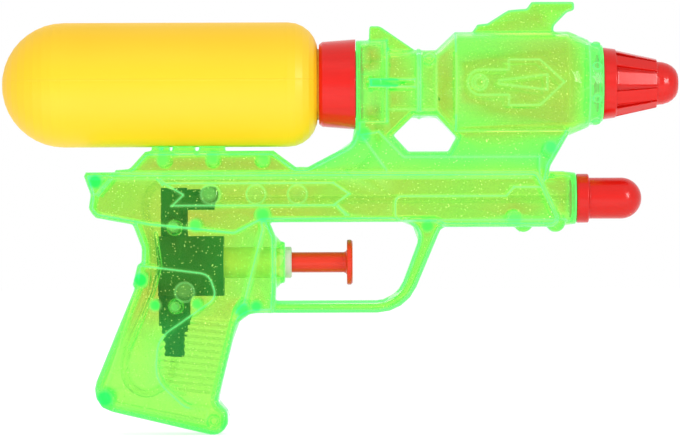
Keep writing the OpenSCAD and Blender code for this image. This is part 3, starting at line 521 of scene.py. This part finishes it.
def mottled(name, first, second, size, detail):
    """A new material whose colour drifts between two colours in spots of one size: it, its node
    tree, its shader, the place that it reads and the drift."""
    material, tree, shader = principled(name)
    place = node(tree, "ShaderNodeTexCoord").outputs["Object"]
    noise = node(tree, "ShaderNodeTexNoise", {"Vector": place, "Scale": 1 / size, "Detail": detail})
    drift = noise.outputs["Fac"]
    tint = node(tree, "ShaderNodeMix", {"Factor": drift, MIX_A: first, MIX_B: second}, data_type="RGBA")
    feed(tree, shader, Base_Color=tint.outputs[MIXED])
    return material, tree, shader, place, drift


def glitter_film():
    """Metallised film cut to flakes: bright, slightly rough mirrors, with a faint painted glow."""
    material, tree, shader = principled("glitter_film")
    place = node(tree, "ShaderNodeTexCoord").outputs["Object"]
    # The film's brightness changes from point to point, which makes it sparkle
    spark = node(tree, "ShaderNodeTexWhiteNoise", {"Vector": place})
    tint = node(
        tree,
        "ShaderNodeMix",
        {"Factor": spark.outputs["Value"], MIX_A: rgba(linear("#B8DE84")), MIX_B: rgba(linear("#ECFBD0"))},
        data_type="RGBA",
    )
    # Painted glint: the flakes glow a little though they are no lamp
    feed(
        tree,
        shader,
        Base_Color=tint.outputs[MIXED],
        Metallic=1.0,
        Roughness=0.35,
        Emission_Color=rgba(linear("#C4FFAA")),
        Emission_Strength=0.24,
    )
    return material


def blown_polyethylene(colours):
    """Blow-moulded polyethylene: opaque, waxy, with a mould seam round its middle, a skin with a
    grain of some 1.6 mm, and clouds of some 35 mm in the colour and the gloss."""
    yellow = colours.tank_yellow
    deep = [share * c for share, c in zip((0.97, 0.94, 0.9), yellow)]
    material, tree, shader, place, cloud = mottled(
        "blown_polyethylene", rgba(yellow), rgba(deep), 35 * MM, 2.0
    )
    parts = node(tree, "ShaderNodeSeparateXYZ", {"Vector": place})
    low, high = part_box("tank")
    level = (low.z + high.z) / 2 + SEAM_RISE
    # The two mould halves meet near mid height in a raised line
    off = node(tree, "ShaderNodeMath", {0: parts.outputs["Z"], 1: level}, operation="SUBTRACT")
    near = node(tree, "ShaderNodeMath", {0: off.outputs[0]}, operation="ABSOLUTE")
    seam = node(
        tree,
        "ShaderNodeMapRange",
        {"Value": near.outputs[0], "From Min": 0.0, "From Max": SEAM_WIDTH, "To Min": 1.0, "To Max": 0.0},
        interpolation_type="SMOOTHSTEP",
    )
    skin = uneven(tree, place, 1.6 * MM, 3.0, 0.06, 0.2 * MM)
    line = node(
        tree,
        "ShaderNodeBump",
        {"Height": seam.outputs["Result"], "Strength": 0.35, "Distance": 0.3 * MM, "Normal": skin},
    )
    gloss = node(tree, "ShaderNodeMapRange", {"Value": cloud, **SPREAD, "To Min": 0.42, "To Max": 0.52})
    feed(tree, shader, Roughness=gloss.outputs["Result"], IOR=1.5, Normal=line.outputs["Normal"])
    return material


def gloss_polystyrene(name, tone, shine):
    """Injection-moulded polystyrene in full colour: glossy, with faint flow lines and the
    soft ripple of a polished mould."""
    material, tree, shader = principled(name)
    place = node(tree, "ShaderNodeTexCoord").outputs["Object"]
    # Flow lines drawn out along the part, some 17 mm long and 2 mm wide
    drawn = node(tree, "ShaderNodeMapping", {"Vector": place, "Scale": (60.0, 500.0, 500.0)})
    flow = node(tree, "ShaderNodeTexNoise", {"Vector": drawn.outputs["Vector"], "Scale": 1.0, "Detail": 3.0})
    tint = node(
        tree,
        "ShaderNodeMix",
        {"Factor": flow.outputs["Fac"], MIX_A: scaled(tone, 0.88), MIX_B: scaled(tone, 1.06)},
        data_type="RGBA",
    )
    gloss = node(
        tree,
        "ShaderNodeMapRange",
        {"Value": flow.outputs["Fac"], **SPREAD, "To Min": shine - 0.04, "To Max": shine + 0.04},
    )
    feed(
        tree,
        shader,
        Base_Color=tint.outputs[MIXED],
        Roughness=gloss.outputs["Result"],
        IOR=1.4,
        Normal=uneven(tree, place, 3 * MM, 1.0, 0.05, 0.2 * MM),
    )
    return material


def natural_polyethylene(colours):
    """Undyed polyethylene: milky white, light sinks a little way in; behind its rim it is painted with
    light.
    """
    material, tree, shader = principled("natural_polyethylene")
    place = node(tree, "ShaderNodeTexCoord").outputs["Object"]
    # Clouds of some 5 mm, and a skin with a grain of some 0.8 mm
    cloud = node(tree, "ShaderNodeTexNoise", {"Vector": place, "Scale": 1 / (5 * MM), "Detail": 2.0})
    tint = node(
        tree,
        "ShaderNodeMix",
        {
            "Factor": cloud.outputs["Fac"],
            MIX_A: rgba(colours.natural),
            MIX_B: scaled(colours.natural, 0.93),
        },
        data_type="RGBA",
    )
    skin = uneven(tree, place, 0.8 * MM, 2.0, 0.05, 0.1 * MM)
    # Painted light: behind the rim the milky wall is painted pale yellow and given a faint green glow,
    # standing for the green light of the body round it
    parts = node(tree, "ShaderNodeSeparateXYZ", {"Vector": place})
    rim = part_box("pump_cylinder")[1].x
    lit = node(
        tree,
        "ShaderNodeMapRange",
        {
            "Value": parts.outputs["X"],
            "From Min": rim - RIM_GREEN,
            "From Max": rim - RIM_WHITE,
            "To Min": 1.0,
            "To Max": 0.0,
        },
    )
    painted_light_tint = node(
        tree,
        "ShaderNodeMix",
        {"Factor": lit.outputs["Result"], MIX_A: tint.outputs[MIXED], MIX_B: rgba(linear("#FFE4A4"))},
        data_type="RGBA",
    )
    faint = node(tree, "ShaderNodeMath", {0: lit.outputs["Result"], 1: 0.05}, operation="MULTIPLY")
    feed(
        tree,
        shader,
        Base_Color=painted_light_tint.outputs[MIXED],
        Roughness=0.45,
        IOR=1.3,
        Transmission_Weight=0.3,
        Emission_Color=rgba(linear("#C4FF8C")),
        Emission_Strength=faint.outputs[0],
        Normal=skin,
    )
    return material


def grained(name, tone, lightest, size, depth):
    """A new material with one grain in its colour and its surface: it, its node tree and its
    shader."""
    material, tree, shader, _, grain = mottled(name, scaled(tone, 0.7), scaled(tone, lightest), size, 3.0)
    bump = node(tree, "ShaderNodeBump", {"Height": grain, "Strength": depth, "Distance": 0.1 * MM})
    feed(tree, shader, Normal=bump.outputs["Normal"])
    return material, tree, shader


def dark_moulding(colours):
    """Dark moulded plastic of the pump: satin, with the grain of a spark-cut mould, some
    0.6 mm wide."""
    material, tree, shader = grained("dark_moulding", colours.pump_dark, 1.5, 0.6 * MM, 0.15)
    feed(tree, shader, Roughness=0.5, IOR=1.25)
    return material


def seal_rubber(colours):
    """Black moulded rubber: dull, with a dusty fine grain, some 0.5 mm wide."""
    material, tree, shader = grained("seal_rubber", colours.rubber, 1.6, 0.5 * MM, 0.2)
    feed(tree, shader, Roughness=0.7, IOR=1.52)
    return material


def soft_pvc(colours):
    """Clear soft PVC hose: see-through and glossy, with a slight haze in clouds of some 4 mm."""
    pale = colours.hose_clear
    material, tree, shader, _, haze = mottled("soft_pvc", rgba(pale), scaled(pale, 0.92), 4 * MM, 2.0)
    gloss = node(tree, "ShaderNodeMapRange", {"Value": haze, **SPREAD, "To Min": 0.08, "To Max": 0.16})
    feed(
        tree,
        shader,
        Roughness=gloss.outputs["Result"],
        IOR=1.03,
        Transmission_Weight=1.0,
        Coat_Weight=1.0,
        Coat_Roughness=0.08,
        Coat_IOR=1.5,
    )
    return material


def bright_steel(colours):
    """Drawn steel wire and ground balls: bright metal with fine marks, some 0.4 mm wide."""
    steel = colours.steel
    material, tree, shader, _, marks = mottled(
        "bright_steel", scaled(steel, 0.85), rgba(steel), 0.4 * MM, 3.0
    )
    gloss = node(tree, "ShaderNodeMapRange", {"Value": marks, **SPREAD, "To Min": 0.16, "To Max": 0.3})
    feed(tree, shader, Metallic=1.0, Roughness=gloss.outputs["Result"])
    return material


def coat(piece, material):
    """Gives a piece its one material."""
    piece.data.materials.clear()
    piece.data.materials.append(material)


def dress(name, material):
    """Gives a CAD node its material."""
    coat(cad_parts[name], material)


def link(name, data):
    """A new object for a mesh or a curve, in the scene."""
    piece = bpy.data.objects.new(name, data)
    bpy.context.scene.collection.objects.link(piece)
    return piece


def baked(piece):
    """Turns a mesh or curve piece and its modifiers into one plain mesh, at the origin."""
    evaluated = piece.evaluated_get(bpy.context.evaluated_depsgraph_get())
    result = bpy.data.meshes.new_from_object(evaluated)
    old = piece.data
    if piece.type == "CURVE":
        name = piece.name
        bpy.data.objects.remove(piece)
        bpy.data.curves.remove(old)
        return link(name, result)
    piece.modifiers.clear()
    piece.data = result
    bpy.data.meshes.remove(old)
    return piece


def group(name, inputs):
    """An empty Geometry Nodes tree with a geometry in and out and the named inputs."""
    tree = bpy.data.node_groups.new(name, "GeometryNodeTree")
    tree.interface.new_socket("Geometry", in_out="INPUT", socket_type="NodeSocketGeometry")
    for label, kind in inputs:
        tree.interface.new_socket(label, in_out="INPUT", socket_type=kind)
    tree.interface.new_socket("Geometry", in_out="OUTPUT", socket_type="NodeSocketGeometry")
    return tree, node(tree, "NodeGroupInput")


def hand_out(tree, geometry, material):
    """Ends a Geometry Nodes tree: real geometry in its material goes out."""
    real = node(tree, "GeometryNodeRealizeInstances", {"Geometry": geometry})
    coated = node(
        tree, "GeometryNodeSetMaterial", {"Geometry": real.outputs["Geometry"], "Material": material}
    )
    node(tree, "NodeGroupOutput", {"Geometry": coated.outputs["Geometry"]})


def grow(piece, tree, **inputs):
    """Puts a Geometry Nodes tree on a piece with its inputs set, and makes the result plain."""
    modifier = piece.modifiers.new(tree.name, "NODES")
    modifier.node_group = tree
    for item in tree.interface.items_tree:
        if item.in_out == "INPUT" and item.name in inputs:
            modifier[item.identifier] = inputs[item.name]
    return baked(piece)


def inside(x, z, outline):
    """Whether a point of the side view lies inside an outline."""
    hits = False
    for (ax, az), (bx, bz) in zip(outline, outline[-1:] + outline[:-1]):
        if (az > z) != (bz > z) and x < ax + (bx - ax) * (z - az) / (bz - az):
            hits = not hits
    return hits


def feature_points(mesh):
    """Points along the edges of a mesh where it turns, each with the way out of the surface
    there and whether the edge stands out."""
    points = []
    form = bmesh.new()
    form.from_mesh(mesh)
    form.normal_update()
    for edge in form.edges:
        if len(edge.link_faces) == 2 and edge.calc_face_angle(0.0) > EDGE_TURN:
            a, b = (v.co for v in edge.verts)
            out = (edge.link_faces[0].normal + edge.link_faces[1].normal).normalized()
            steps = max(1, int(edge.calc_length() / EDGE_SPACING))
            points += [(a.lerp(b, (k + 0.5) / steps), out, edge.is_convex) for k in range(steps)]
    form.free()
    return points


def distances(mesh, points):
    """How far each vertex of a mesh lies from the nearest of the points."""
    tree = KDTree(len(points))
    for i, point in enumerate(points):
        tree.insert(point, i)
    tree.balance()
    return np.array([tree.find(v.co)[2] for v in mesh.vertices])


def solid_surface(name):
    """The surface of a CAD node, for rays and nearest points."""
    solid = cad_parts[name].data
    return BVHTree.FromPolygons([v.co for v in solid.vertices], [p.vertices for p in solid.polygons])


def shell_side(name):
    """The way out on the side that a half shell closes."""
    low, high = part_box(name)
    return Vector((0.0, -1.0 if low.y + high.y < 0 else 1.0, 0.0))


def post_spots(name):
    """Points on the outer face of a half shell over the posts inside it."""
    surface = solid_surface(name)
    side = shell_side(name)
    spots = []
    for x, z, radius, _ in POSTS:
        for k in range(SPOT_COUNT):
            far = radius * SPOT_RINGS[k % len(SPOT_RINGS)]
            turn = math.tau * k / SPOT_COUNT
            spot = Vector((x + far * math.cos(turn), 0.0, z + far * math.sin(turn))) * MM
            hit = surface.ray_cast(spot + OUTSIDE * side, -side)[0]
            if hit is not None:
                spots.append(hit)
    return spots


def thin_out(piece, most, step, kept):
    """Thins a piece to a number of triangles, but not close to the kept places."""
    count = sum(len(face.vertices) - 2 for face in piece.data.polygons)
    if count <= most or not kept:
        return
    away = distances(piece.data, kept)
    spare = np.clip((away / (KEPT_CELL * step) - KEPT_REACH) / KEPT_BORDER, 0, 1)
    keep = piece.vertex_groups.new(name="keep")
    for tenth in range(11):
        chosen = np.nonzero(np.round(spare * 10) == tenth)[0]
        keep.add(chosen.tolist(), 1 - tenth / 10, "REPLACE")
    thin = piece.modifiers.new("thin", "DECIMATE")
    thin.ratio = most / count
    thin.vertex_group = "keep"
    thin.vertex_group_factor = KEPT_HOLD
    thin.invert_vertex_group = True
    thin.use_collapse_triangulate = True
    baked(piece)
    piece.vertex_groups.clear()


def moulding(name, step, rounds, most, spots=()):
    """A copy of a CAD node with the small roundings of a moulding, fine along its edges and at
    the spots given, and the points along the edges that it had. Where that is still too much
    for one piece, the cells along the edges are thinned too, and those at the spots stay."""
    form = bmesh.new()
    form.from_mesh(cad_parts[name].data)
    bmesh.ops.remove_doubles(form, verts=form.verts, dist=SAME_CORNER)
    mesh = bpy.data.meshes.new(name + "_moulding")
    form.to_mesh(mesh)
    form.free()
    points = feature_points(mesh)
    piece = link(name + "_moulding", mesh)
    cells = piece.modifiers.new("cells", "REMESH")
    cells.mode = "VOXEL"
    cells.voxel_size = step
    soften = piece.modifiers.new("soften", "SMOOTH")
    soften.factor = SMOOTHING
    soften.iterations = rounds
    baked(piece)
    thin_out(piece, most, step, [place for place, _, _ in points] + list(spots))
    thin_out(piece, most, step, list(spots))
    # A few points that thinning has thrown off the surface go back to it
    surface = solid_surface(name)
    for vertex in piece.data.vertices:
        back, _, _, off = surface.find_nearest(vertex.co)
        if off > STRAY:
            vertex.co = back
    piece.data.shade_smooth()
    return piece, points


def eased(values):
    """Values held between 0 and 1, with a soft start and end."""
    held = np.clip(values, 0, 1)
    return held * held * (3 - 2 * held)


def sorted_edges(points, hidden):
    """The points along a shell's edges by how bright their painted highlight shows, and those along the fine
    ribs of the grip."""
    kinds = {BRIGHT: [], HALF_BRIGHT: [], FAINT: []}
    ribs = []
    for place, out, stands in points:
        x, z = place.x / MM, place.z / MM
        on_grip = abs(place.y) > GRIP_FACE
        if hidden(place, out):
            kinds[FAINT].append(place)
        elif on_grip and inside(x, z, RIB_FIELD):
            ribs.append(place)
        elif on_grip and inside(x, z, FADED_STEP):
            kinds[FAINT].append(place)
        elif abs(place.y) > DRUM_FACE and inside(x, z, DRUM_RELIEF):
            kinds[HALF_BRIGHT].append(place)
        else:
            kinds[BRIGHT if stands else HALF_BRIGHT].append(place)
    return kinds, ribs


def post_marks(x, y, z, outer):
    """How strongly each place on the outer faces is painted green and glowing where a post or a rib lies
    behind it, and on the neck's side fin.
    """
    marks = np.zeros(len(x))
    for post_x, post_z, radius, weight in POSTS:
        far = np.hypot(x - post_x, z - post_z) / radius
        marks = np.maximum(marks, weight * eased((POST_END - far) / POST_BORDER) * outer)
    for rib_x, half, least_z, most_z, weight in CROSS_RIBS:
        far = np.abs(x - rib_x) / half
        on_rib = eased((RIB_END - far) / RIB_BORDER) * (outer & (z > least_z) & (z < most_z))
        marks = np.maximum(marks, weight * on_rib)
    return np.maximum(marks, FIN_GREEN * ((x < FIN_FRONT) & (y > FIN_FACE)))


def near_marks(x, z):
    """How strongly each place is given painted glow where walls lie close together."""
    marks = np.zeros(len(x))
    for least_x, most_x, least_z, most_z, border, weight in GLOWS:
        across = eased((x - least_x) / border) * eased((most_x - x) / border)
        glow = weight * across * eased((z - least_z) / border) * eased((most_z - z) / border)
        marks = np.maximum(marks, glow)
    return marks


def painted_light_marks(piece, name, points, sizes):
    """Marks where a clear wall is given painted light and shade: edge, a painted highlight, is high on its
    outer edges and on the walls that stand across the body, halo, a painted glow, fades from the edges into
    the flats, rib, a painted shade line, is 1 along the fine ribs of the grip, which stay clear, post,
    painted green and glow, is high over the posts and ribs inside, and near, a painted glow, is high where
    walls lie close together."""
    mesh = piece.data
    surface = solid_surface(name)
    side = shell_side(name)

    def hidden(place, out):
        """Whether more of the shell lies over a place, as seen from the shell's side."""
        return surface.ray_cast(place + RAY_OUT * out + RAY_ASIDE * side, side)[0] is not None

    kinds, ribs = sorted_edges(points, hidden)
    inner = np.array([hidden(v.co, v.normal) for v in mesh.vertices])
    normals = np.empty(3 * len(mesh.vertices), np.float32)
    mesh.vertex_normals.foreach_get("vector", normals)
    stands = eased((WALL_LEAN - np.abs(normals[1::3])) / WALL_RANGE)
    edge = stands * np.where(inner, WALL_INSIDE, WALL_OUTSIDE)
    halo = np.zeros(len(mesh.vertices))
    for weight, chosen in kinds.items():
        away = distances(mesh, chosen)
        edge = np.maximum(edge, weight * eased(1 - away / sizes.edge_width))
        halo = np.maximum(halo, weight * eased(1 - away / sizes.edge_reach))
    rib = eased(1 - distances(mesh, ribs) / sizes.rib_width)
    places = np.array([v.co for v in mesh.vertices]) / MM
    x, y, z = places[:, 0], np.abs(places[:, 1]), places[:, 2]
    post = post_marks(x, y, z, ~inner)
    for mark, values in zip(MARKS, (edge, halo, rib, post, near_marks(x, z))):
        layer = mesh.attributes.new(mark, "FLOAT", "POINT")
        layer.data.foreach_set("value", values.astype(np.float32))


def glitter_tree(material):
    """Strews hexagonal flakes in the wall under a surface, lying nearly flat with it."""
    tree, given = group(
        "strewn_flakes",
        [
            ("Flake", "NodeSocketFloat"),
            ("Depth", "NodeSocketFloat"),
            ("Density", "NodeSocketFloat"),
            ("Seed", "NodeSocketInt"),
        ],
    )
    seed = given.outputs["Seed"]
    strewn = node(
        tree,
        "GeometryNodeDistributePointsOnFaces",
        {"Mesh": given.outputs["Geometry"], "Density": given.outputs["Density"], "Seed": seed},
    )
    depth = node(tree, "ShaderNodeMath", {0: given.outputs["Depth"], 1: -1.0}, operation="MULTIPLY")
    inward = node(
        tree,
        "ShaderNodeVectorMath",
        {0: strewn.outputs["Normal"], "Scale": depth.outputs[0]},
        operation="SCALE",
    )
    sunk = node(
        tree,
        "GeometryNodeSetPosition",
        {"Geometry": strewn.outputs["Points"], "Offset": inward.outputs["Vector"]},
    )
    most = (FLAKE_TILT, FLAKE_TILT, FLAKE_TURN)
    tilt = node(
        tree,
        "FunctionNodeRandomValue",
        {"Min": [-angle for angle in most], "Max": most, "Seed": seed},
        data_type="FLOAT_VECTOR",
    )
    turned = node(
        tree,
        "FunctionNodeRotateRotation",
        {"Rotation": strewn.outputs["Rotation"], "Rotate By": tilt.outputs["Value"]},
        rotation_space="LOCAL",
    )
    half = node(tree, "ShaderNodeMath", {0: given.outputs["Flake"], 1: 0.5}, operation="MULTIPLY")
    flake = node(
        tree, "GeometryNodeMeshCircle", {"Vertices": 6, "Radius": half.outputs[0]}, fill_type="TRIANGLE_FAN"
    )
    spread = node(
        tree, "FunctionNodeRandomValue", {2: FLAKE_LEAST, 3: 1.0, "Seed": seed}, data_type="FLOAT"
    )
    placed = node(
        tree,
        "GeometryNodeInstanceOnPoints",
        {
            "Points": sunk.outputs["Geometry"],
            "Instance": flake.outputs["Mesh"],
            "Rotation": turned.outputs["Rotation"],
            "Scale": spread.outputs[1],
        },
    )
    hand_out(tree, placed.outputs["Instances"], material)
    return tree


def tube_tree(name, material):
    """A round tube along a curve, smooth, with its ends closed where that is asked."""
    tree, given = group(
        name, [("Radius", "NodeSocketFloat"), ("Sides", "NodeSocketInt"), ("Closed ends", "NodeSocketBool")]
    )
    ring = node(
        tree,
        "GeometryNodeCurvePrimitiveCircle",
        {"Resolution": given.outputs["Sides"], "Radius": given.outputs["Radius"]},
    )
    tube = node(
        tree,
        "GeometryNodeCurveToMesh",
        {
            "Curve": given.outputs["Geometry"],
            "Profile Curve": ring.outputs["Curve"],
            "Fill Caps": given.outputs["Closed ends"],
        },
    )
    smooth = node(tree, "GeometryNodeSetShadeSmooth", {"Geometry": tube.outputs["Mesh"]})
    hand_out(tree, smooth.outputs["Geometry"], material)
    return tree


def path_curve(name, points):
    """A poly curve through points in metres."""
    curve = bpy.data.curves.new(name, "CURVE")
    curve.dimensions = "3D"
    line = curve.splines.new("POLY")
    line.points.add(len(points) - 1)
    for point, place in zip(line.points, points):
        point.co = (*place, 1.0)
    return curve


def coil(curls, length, wire):
    """Ways along and angles of points on a coil whose first and last curls lie closer than
    the rest."""
    close = wire + END_GAP
    run = length - wire - 2 * close
    spread = run / (curls - 2)
    line = []
    for k in range(CURL_STEPS * curls + 1):
        turn = k / CURL_STEPS
        if turn < 1:
            way = close * turn
        elif turn > curls - 1:
            way = length - wire - close * (curls - turn)
        else:
            way = close + spread * (turn - 1)
        line.append((way + wire / 2, math.tau * turn))
    return line


def smooth_route(points, steps):
    """Points on a smooth curve through the points given, with as many steps between each."""
    line = []
    for i in range(len(points) - 1):
        a, b = points[max(i - 1, 0)], points[i]
        c, d = points[i + 1], points[min(i + 2, len(points) - 1)]
        for k in range(steps):
            t = k / steps
            bend = (2 * a - 5 * b + 4 * c - d) * t * t
            twist = (3 * b - a - 3 * c + d) * t ** 3
            line.append((2 * b + (c - a) * t + bend + twist) / 2)
    return [*line, points[-1]]


def wound_spring(name, along, wire, curls, tree):
    """Winds a spring's wire along one axis of its CAD node's box: the spring and the box."""
    low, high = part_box(name)
    across, over = (along + 1) % 3, (along + 2) % 3
    radius = (high[over] - low[over] - wire) / 2
    middle = (low + high) / 2
    middle.y = 0.0
    points = []
    for way, angle in coil(curls, high[along] - low[along], wire):
        point = middle.copy()
        point[along] = low[along] + way
        point[across] += radius * math.cos(angle)
        point[over] += radius * math.sin(angle)
        points.append(point)
    spring = link(name + "_wire", path_curve(name + "_wire", points))
    spring = grow(spring, tree, **{"Radius": wire / 2, "Sides": WIRE_SIDES, "Closed ends": True})
    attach(spring, "body")
    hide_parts(name)
    return spring, low, high


class SQUIRTER_OT_shells(bpy.types.Operator):
    """Makes the two clear half shells and the glitter in their walls"""

    bl_idname = "squirter.shells"
    bl_label = "Clear shells"

    def execute(self, context):
        sizes = context.scene.squirter_sizes
        clear = neon_polystyrene(context.scene.squirter_colours)
        flakes = glitter_tree(glitter_film())
        for seed, name in enumerate(("right_shell", "left_shell"), FLAKE_SEED):
            piece, edges = moulding(
                name, sizes.shell_step, SHELL_ROUNDS, SHELL_TRIANGLES, post_spots(name)
            )
            painted_light_marks(piece, name, edges, sizes)
            coat(piece, clear)
            strewn = link(name + "_glitter", piece.data.copy())
            grow(
                strewn,
                flakes,
                Flake=sizes.flake,
                Depth=sizes.flake_depth,
                Density=sizes.flake_count,
                Seed=seed,
            )
            for made in (piece, strewn):
                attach(made, "body")
            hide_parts(name)
        return {"FINISHED"}


class SQUIRTER_OT_tank(bpy.types.Operator):
    """Finishes the tank"""

    bl_idname = "squirter.tank"
    bl_label = "Tank"

    def execute(self, context):
        dress("tank", blown_polyethylene(context.scene.squirter_colours))
        return {"FINISHED"}


class SQUIRTER_OT_caps(bpy.types.Operator):
    """Makes the red collar, nose and nozzle"""

    bl_idname = "squirter.caps"
    bl_label = "Red caps"

    def execute(self, context):
        sizes = context.scene.squirter_sizes
        red = gloss_polystyrene("red_polystyrene", context.scene.squirter_colours.cap_red, 0.22)
        for name in ("tank_collar", "nose_cone", "nozzle_cap"):
            piece, _ = moulding(name, sizes.cap_step, CAP_ROUNDS, CAP_TRIANGLES)
            coat(piece, red)
            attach(piece, "body")
            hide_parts(name)
        return {"FINISHED"}


class SQUIRTER_OT_pump(bpy.types.Operator):
    """Finishes the plunger, the pump, the valves' balls and the seals"""

    bl_idname = "squirter.pump"
    bl_label = "Pump"

    def execute(self, context):
        colours = context.scene.squirter_colours
        dress("plunger", gloss_polystyrene("trigger_polystyrene", colours.trigger_red, 0.3))
        dress("pump_cylinder", natural_polyethylene(colours))
        dark = dark_moulding(colours)
        for name in ("pump_body", "outlet_elbow", "inlet_seat"):
            dress(name, dark)
        rubber = seal_rubber(colours)
        for name in ("plunger_seal", "tank_seal"):
            dress(name, rubber)
        steel = bright_steel(colours)
        for name in ("inlet_ball", "outlet_ball"):
            dress(name, steel)
        return {"FINISHED"}


class SQUIRTER_OT_springs(bpy.types.Operator):
    """Winds the return spring and the outlet valve's spring"""

    bl_idname = "squirter.springs"
    bl_label = "Springs"

    def execute(self, context):
        sizes = context.scene.squirter_sizes
        wound = tube_tree("wound_wire", bright_steel(context.scene.squirter_colours))

        spring, low, high = wound_spring(
            "return_spring", 0, sizes.return_wire, sizes.return_curls, wound
        )
        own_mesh(spring)

        spring, low, high = wound_spring("outlet_spring", 2, sizes.valve_wire, sizes.valve_curls, wound)
        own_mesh(spring)
        return {"FINISHED"}


class SQUIRTER_OT_hoses(bpy.types.Operator):
    """Draws the two hoses inside the body and finishes the elbow at the tank"""

    bl_idname = "squirter.hoses"
    bl_label = "Hoses"

    def execute(self, context):
        sizes = context.scene.squirter_sizes
        pvc = soft_pvc(context.scene.squirter_colours)
        dress("tank_elbow", pvc)
        drawn = tube_tree("drawn_hose", pvc)
        inlet = smooth_route([Vector((x * MM, 0.0, z * MM)) for x, z in INLET_ROUTE], ROUTE_STEPS)
        low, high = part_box("outlet_hose")
        level = (low.z + high.z) / 2
        ways = [low.x + (high.x - low.x) * k / OUTLET_STEPS for k in range(OUTLET_STEPS + 1)]
        outlet = [Vector((way, 0.0, level)) for way in ways]
        for name, route in (("inlet_hose", inlet), ("outlet_hose", outlet)):
            hose = link(name + "_tube", path_curve(name + "_tube", route))
            hose = grow(
                hose, drawn, **{"Radius": sizes.hose / 2, "Sides": HOSE_SIDES, "Closed ends": False}
            )
            wall = hose.modifiers.new("wall", "SOLIDIFY")
            wall.thickness = sizes.hose_wall
            wall.offset = -1.0
            baked(hose)
            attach(hose, "body")
            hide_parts(name)
        return {"FINISHED"}


def softbox(name, place, aim, width, height, power):
    """A rectangular lamp at place that faces aim and isn't seen itself."""
    lamp = bpy.data.lights.new(name, "AREA")
    lamp.shape = "RECTANGLE"
    lamp.size = width
    lamp.size_y = height
    lamp.energy = power
    made = link(name, lamp)
    made.location = place
    made.rotation_euler = (Vector(aim) - Vector(place)).to_track_quat("-Z", "Y").to_euler()
    made.visible_camera = False
    return made


def seen(tree):
    """1 for rays that come from the eye straight, by a mirror or through something clear, else 0."""
    rays = node(tree, "ShaderNodeLightPath").outputs
    value = rays["Is Camera Ray"]
    for kind in ("Is Glossy Ray", "Is Transmission Ray"):
        value = node(tree, "ShaderNodeMath", {0: value, 1: rays[kind]}, operation="MAXIMUM").outputs[0]
    return value


def pale_floor():
    """White floor: lit softly by the lamps, and bright by itself where it is seen."""
    material = bpy.data.materials.new("pale_floor")
    tree = emptied(material)
    white = node(tree, "ShaderNodeMath", {0: seen(tree), 1: FLOOR_GLOW}, operation="MULTIPLY")
    glow = node(tree, "ShaderNodeEmission", {"Color": (1, 1, 1, 1), "Strength": white.outputs[0]})
    matt = node(tree, "ShaderNodeBsdfDiffuse", {"Color": rgba([FLOOR_GREY] * 3)})
    both = node(tree, "ShaderNodeAddShader", {0: glow.outputs["Emission"], 1: matt.outputs["BSDF"]})
    node(tree, "ShaderNodeOutputMaterial", {"Surface": both.outputs["Shader"]})
    return material


def white_room():
    """White surroundings: full white where they are seen, and dimmer as a source of light."""
    world = bpy.data.worlds.new("studio")
    tree = emptied(world)
    level = node(tree, "ShaderNodeMapRange", {"Value": seen(tree), "To Min": ROOM_LIGHT, "To Max": 1.0})
    back = node(
        tree, "ShaderNodeBackground", {"Color": (1, 1, 1, 1), "Strength": level.outputs["Result"]}
    )
    node(tree, "ShaderNodeOutputWorld", {"Surface": back.outputs["Background"]})
    return world


class SQUIRTER_OT_stage(bpy.types.Operator):
    """Sets the floor, the soft lamps, the white surroundings and the camera"""

    bl_idname = "squirter.stage"
    bl_label = "Studio"

    def execute(self, context):
        scene = context.scene
        scene.view_settings.view_transform = "Standard"
        scene.cycles.max_bounces = BOUNCES
        scene.cycles.transmission_bounces = BOUNCES

        mesh = bpy.data.meshes.new("floor")
        signs = ((-1, -1), (1, -1), (1, 1), (-1, 1))
        corners = [(FLOOR_HALF * x, FLOOR_HALF * y, CAD_BOX[0][2]) for x, y in signs]
        mesh.from_pydata(corners, [], [(0, 1, 2, 3)])
        floor = link("floor", mesh)
        coat(floor, pale_floor())
        scene.world = white_room()

        for values in LAMPS:
            softbox(*values).visible_glossy = False
        softbox(*WINDOW).visible_diffuse = False

        lens = bpy.data.cameras.new("camera")
        lens.sensor_width = SENSOR_WIDTH
        lens.lens = SENSOR_WIDTH * VIEW_DISTANCE / VIEW_WIDTH
        lens.clip_end = FARTHEST_SEEN
        camera = link("camera", lens)
        camera.location = (VIEW_X, -VIEW_DISTANCE, VIEW_Z)
        camera.rotation_euler = (math.radians(90), VIEW_ROLL, 0.0)
        scene.camera = camera
        return {"FINISHED"}


STEPS = (
    SQUIRTER_OT_shells,
    SQUIRTER_OT_tank,
    SQUIRTER_OT_caps,
    SQUIRTER_OT_pump,
    SQUIRTER_OT_springs,
    SQUIRTER_OT_hoses,
    SQUIRTER_OT_stage,
)


class SQUIRTER_PT_panel(bpy.types.Panel):
    """Lists the squirter's steps, sizes and colours"""

    bl_idname = "SQUIRTER_PT_panel"
    bl_label = "Water squirter"
    bl_space_type = "VIEW_3D"
    bl_region_type = "UI"
    bl_category = "Squirter"

    def draw(self, context):
        column = self.layout.column()
        for step in STEPS:
            column.operator(step.bl_idname)
        for settings in (context.scene.squirter_sizes, context.scene.squirter_colours):
            for name in settings.bl_rna.properties.keys():
                if name not in ("rna_type", "name"):
                    column.prop(settings, name)


CLASSES = (SquirterColours, SquirterSizes, *STEPS, SQUIRTER_PT_panel)


def register():
    for item in CLASSES:
        bpy.utils.register_class(item)
    bpy.types.Scene.squirter_colours = bpy.props.PointerProperty(type=SquirterColours)
    bpy.types.Scene.squirter_sizes = bpy.props.PointerProperty(type=SquirterSizes)


def unregister():
    del bpy.types.Scene.squirter_sizes
    del bpy.types.Scene.squirter_colours
    for item in reversed(CLASSES):
        bpy.utils.unregister_class(item)


def main():
    register()
    bpy.ops.squirter.shells()
    bpy.ops.squirter.tank()
    bpy.ops.squirter.caps()
    bpy.ops.squirter.pump()
    bpy.ops.squirter.springs()
    bpy.ops.squirter.hoses()
    bpy.ops.squirter.stage()


if __name__ == "__main__":
    main()
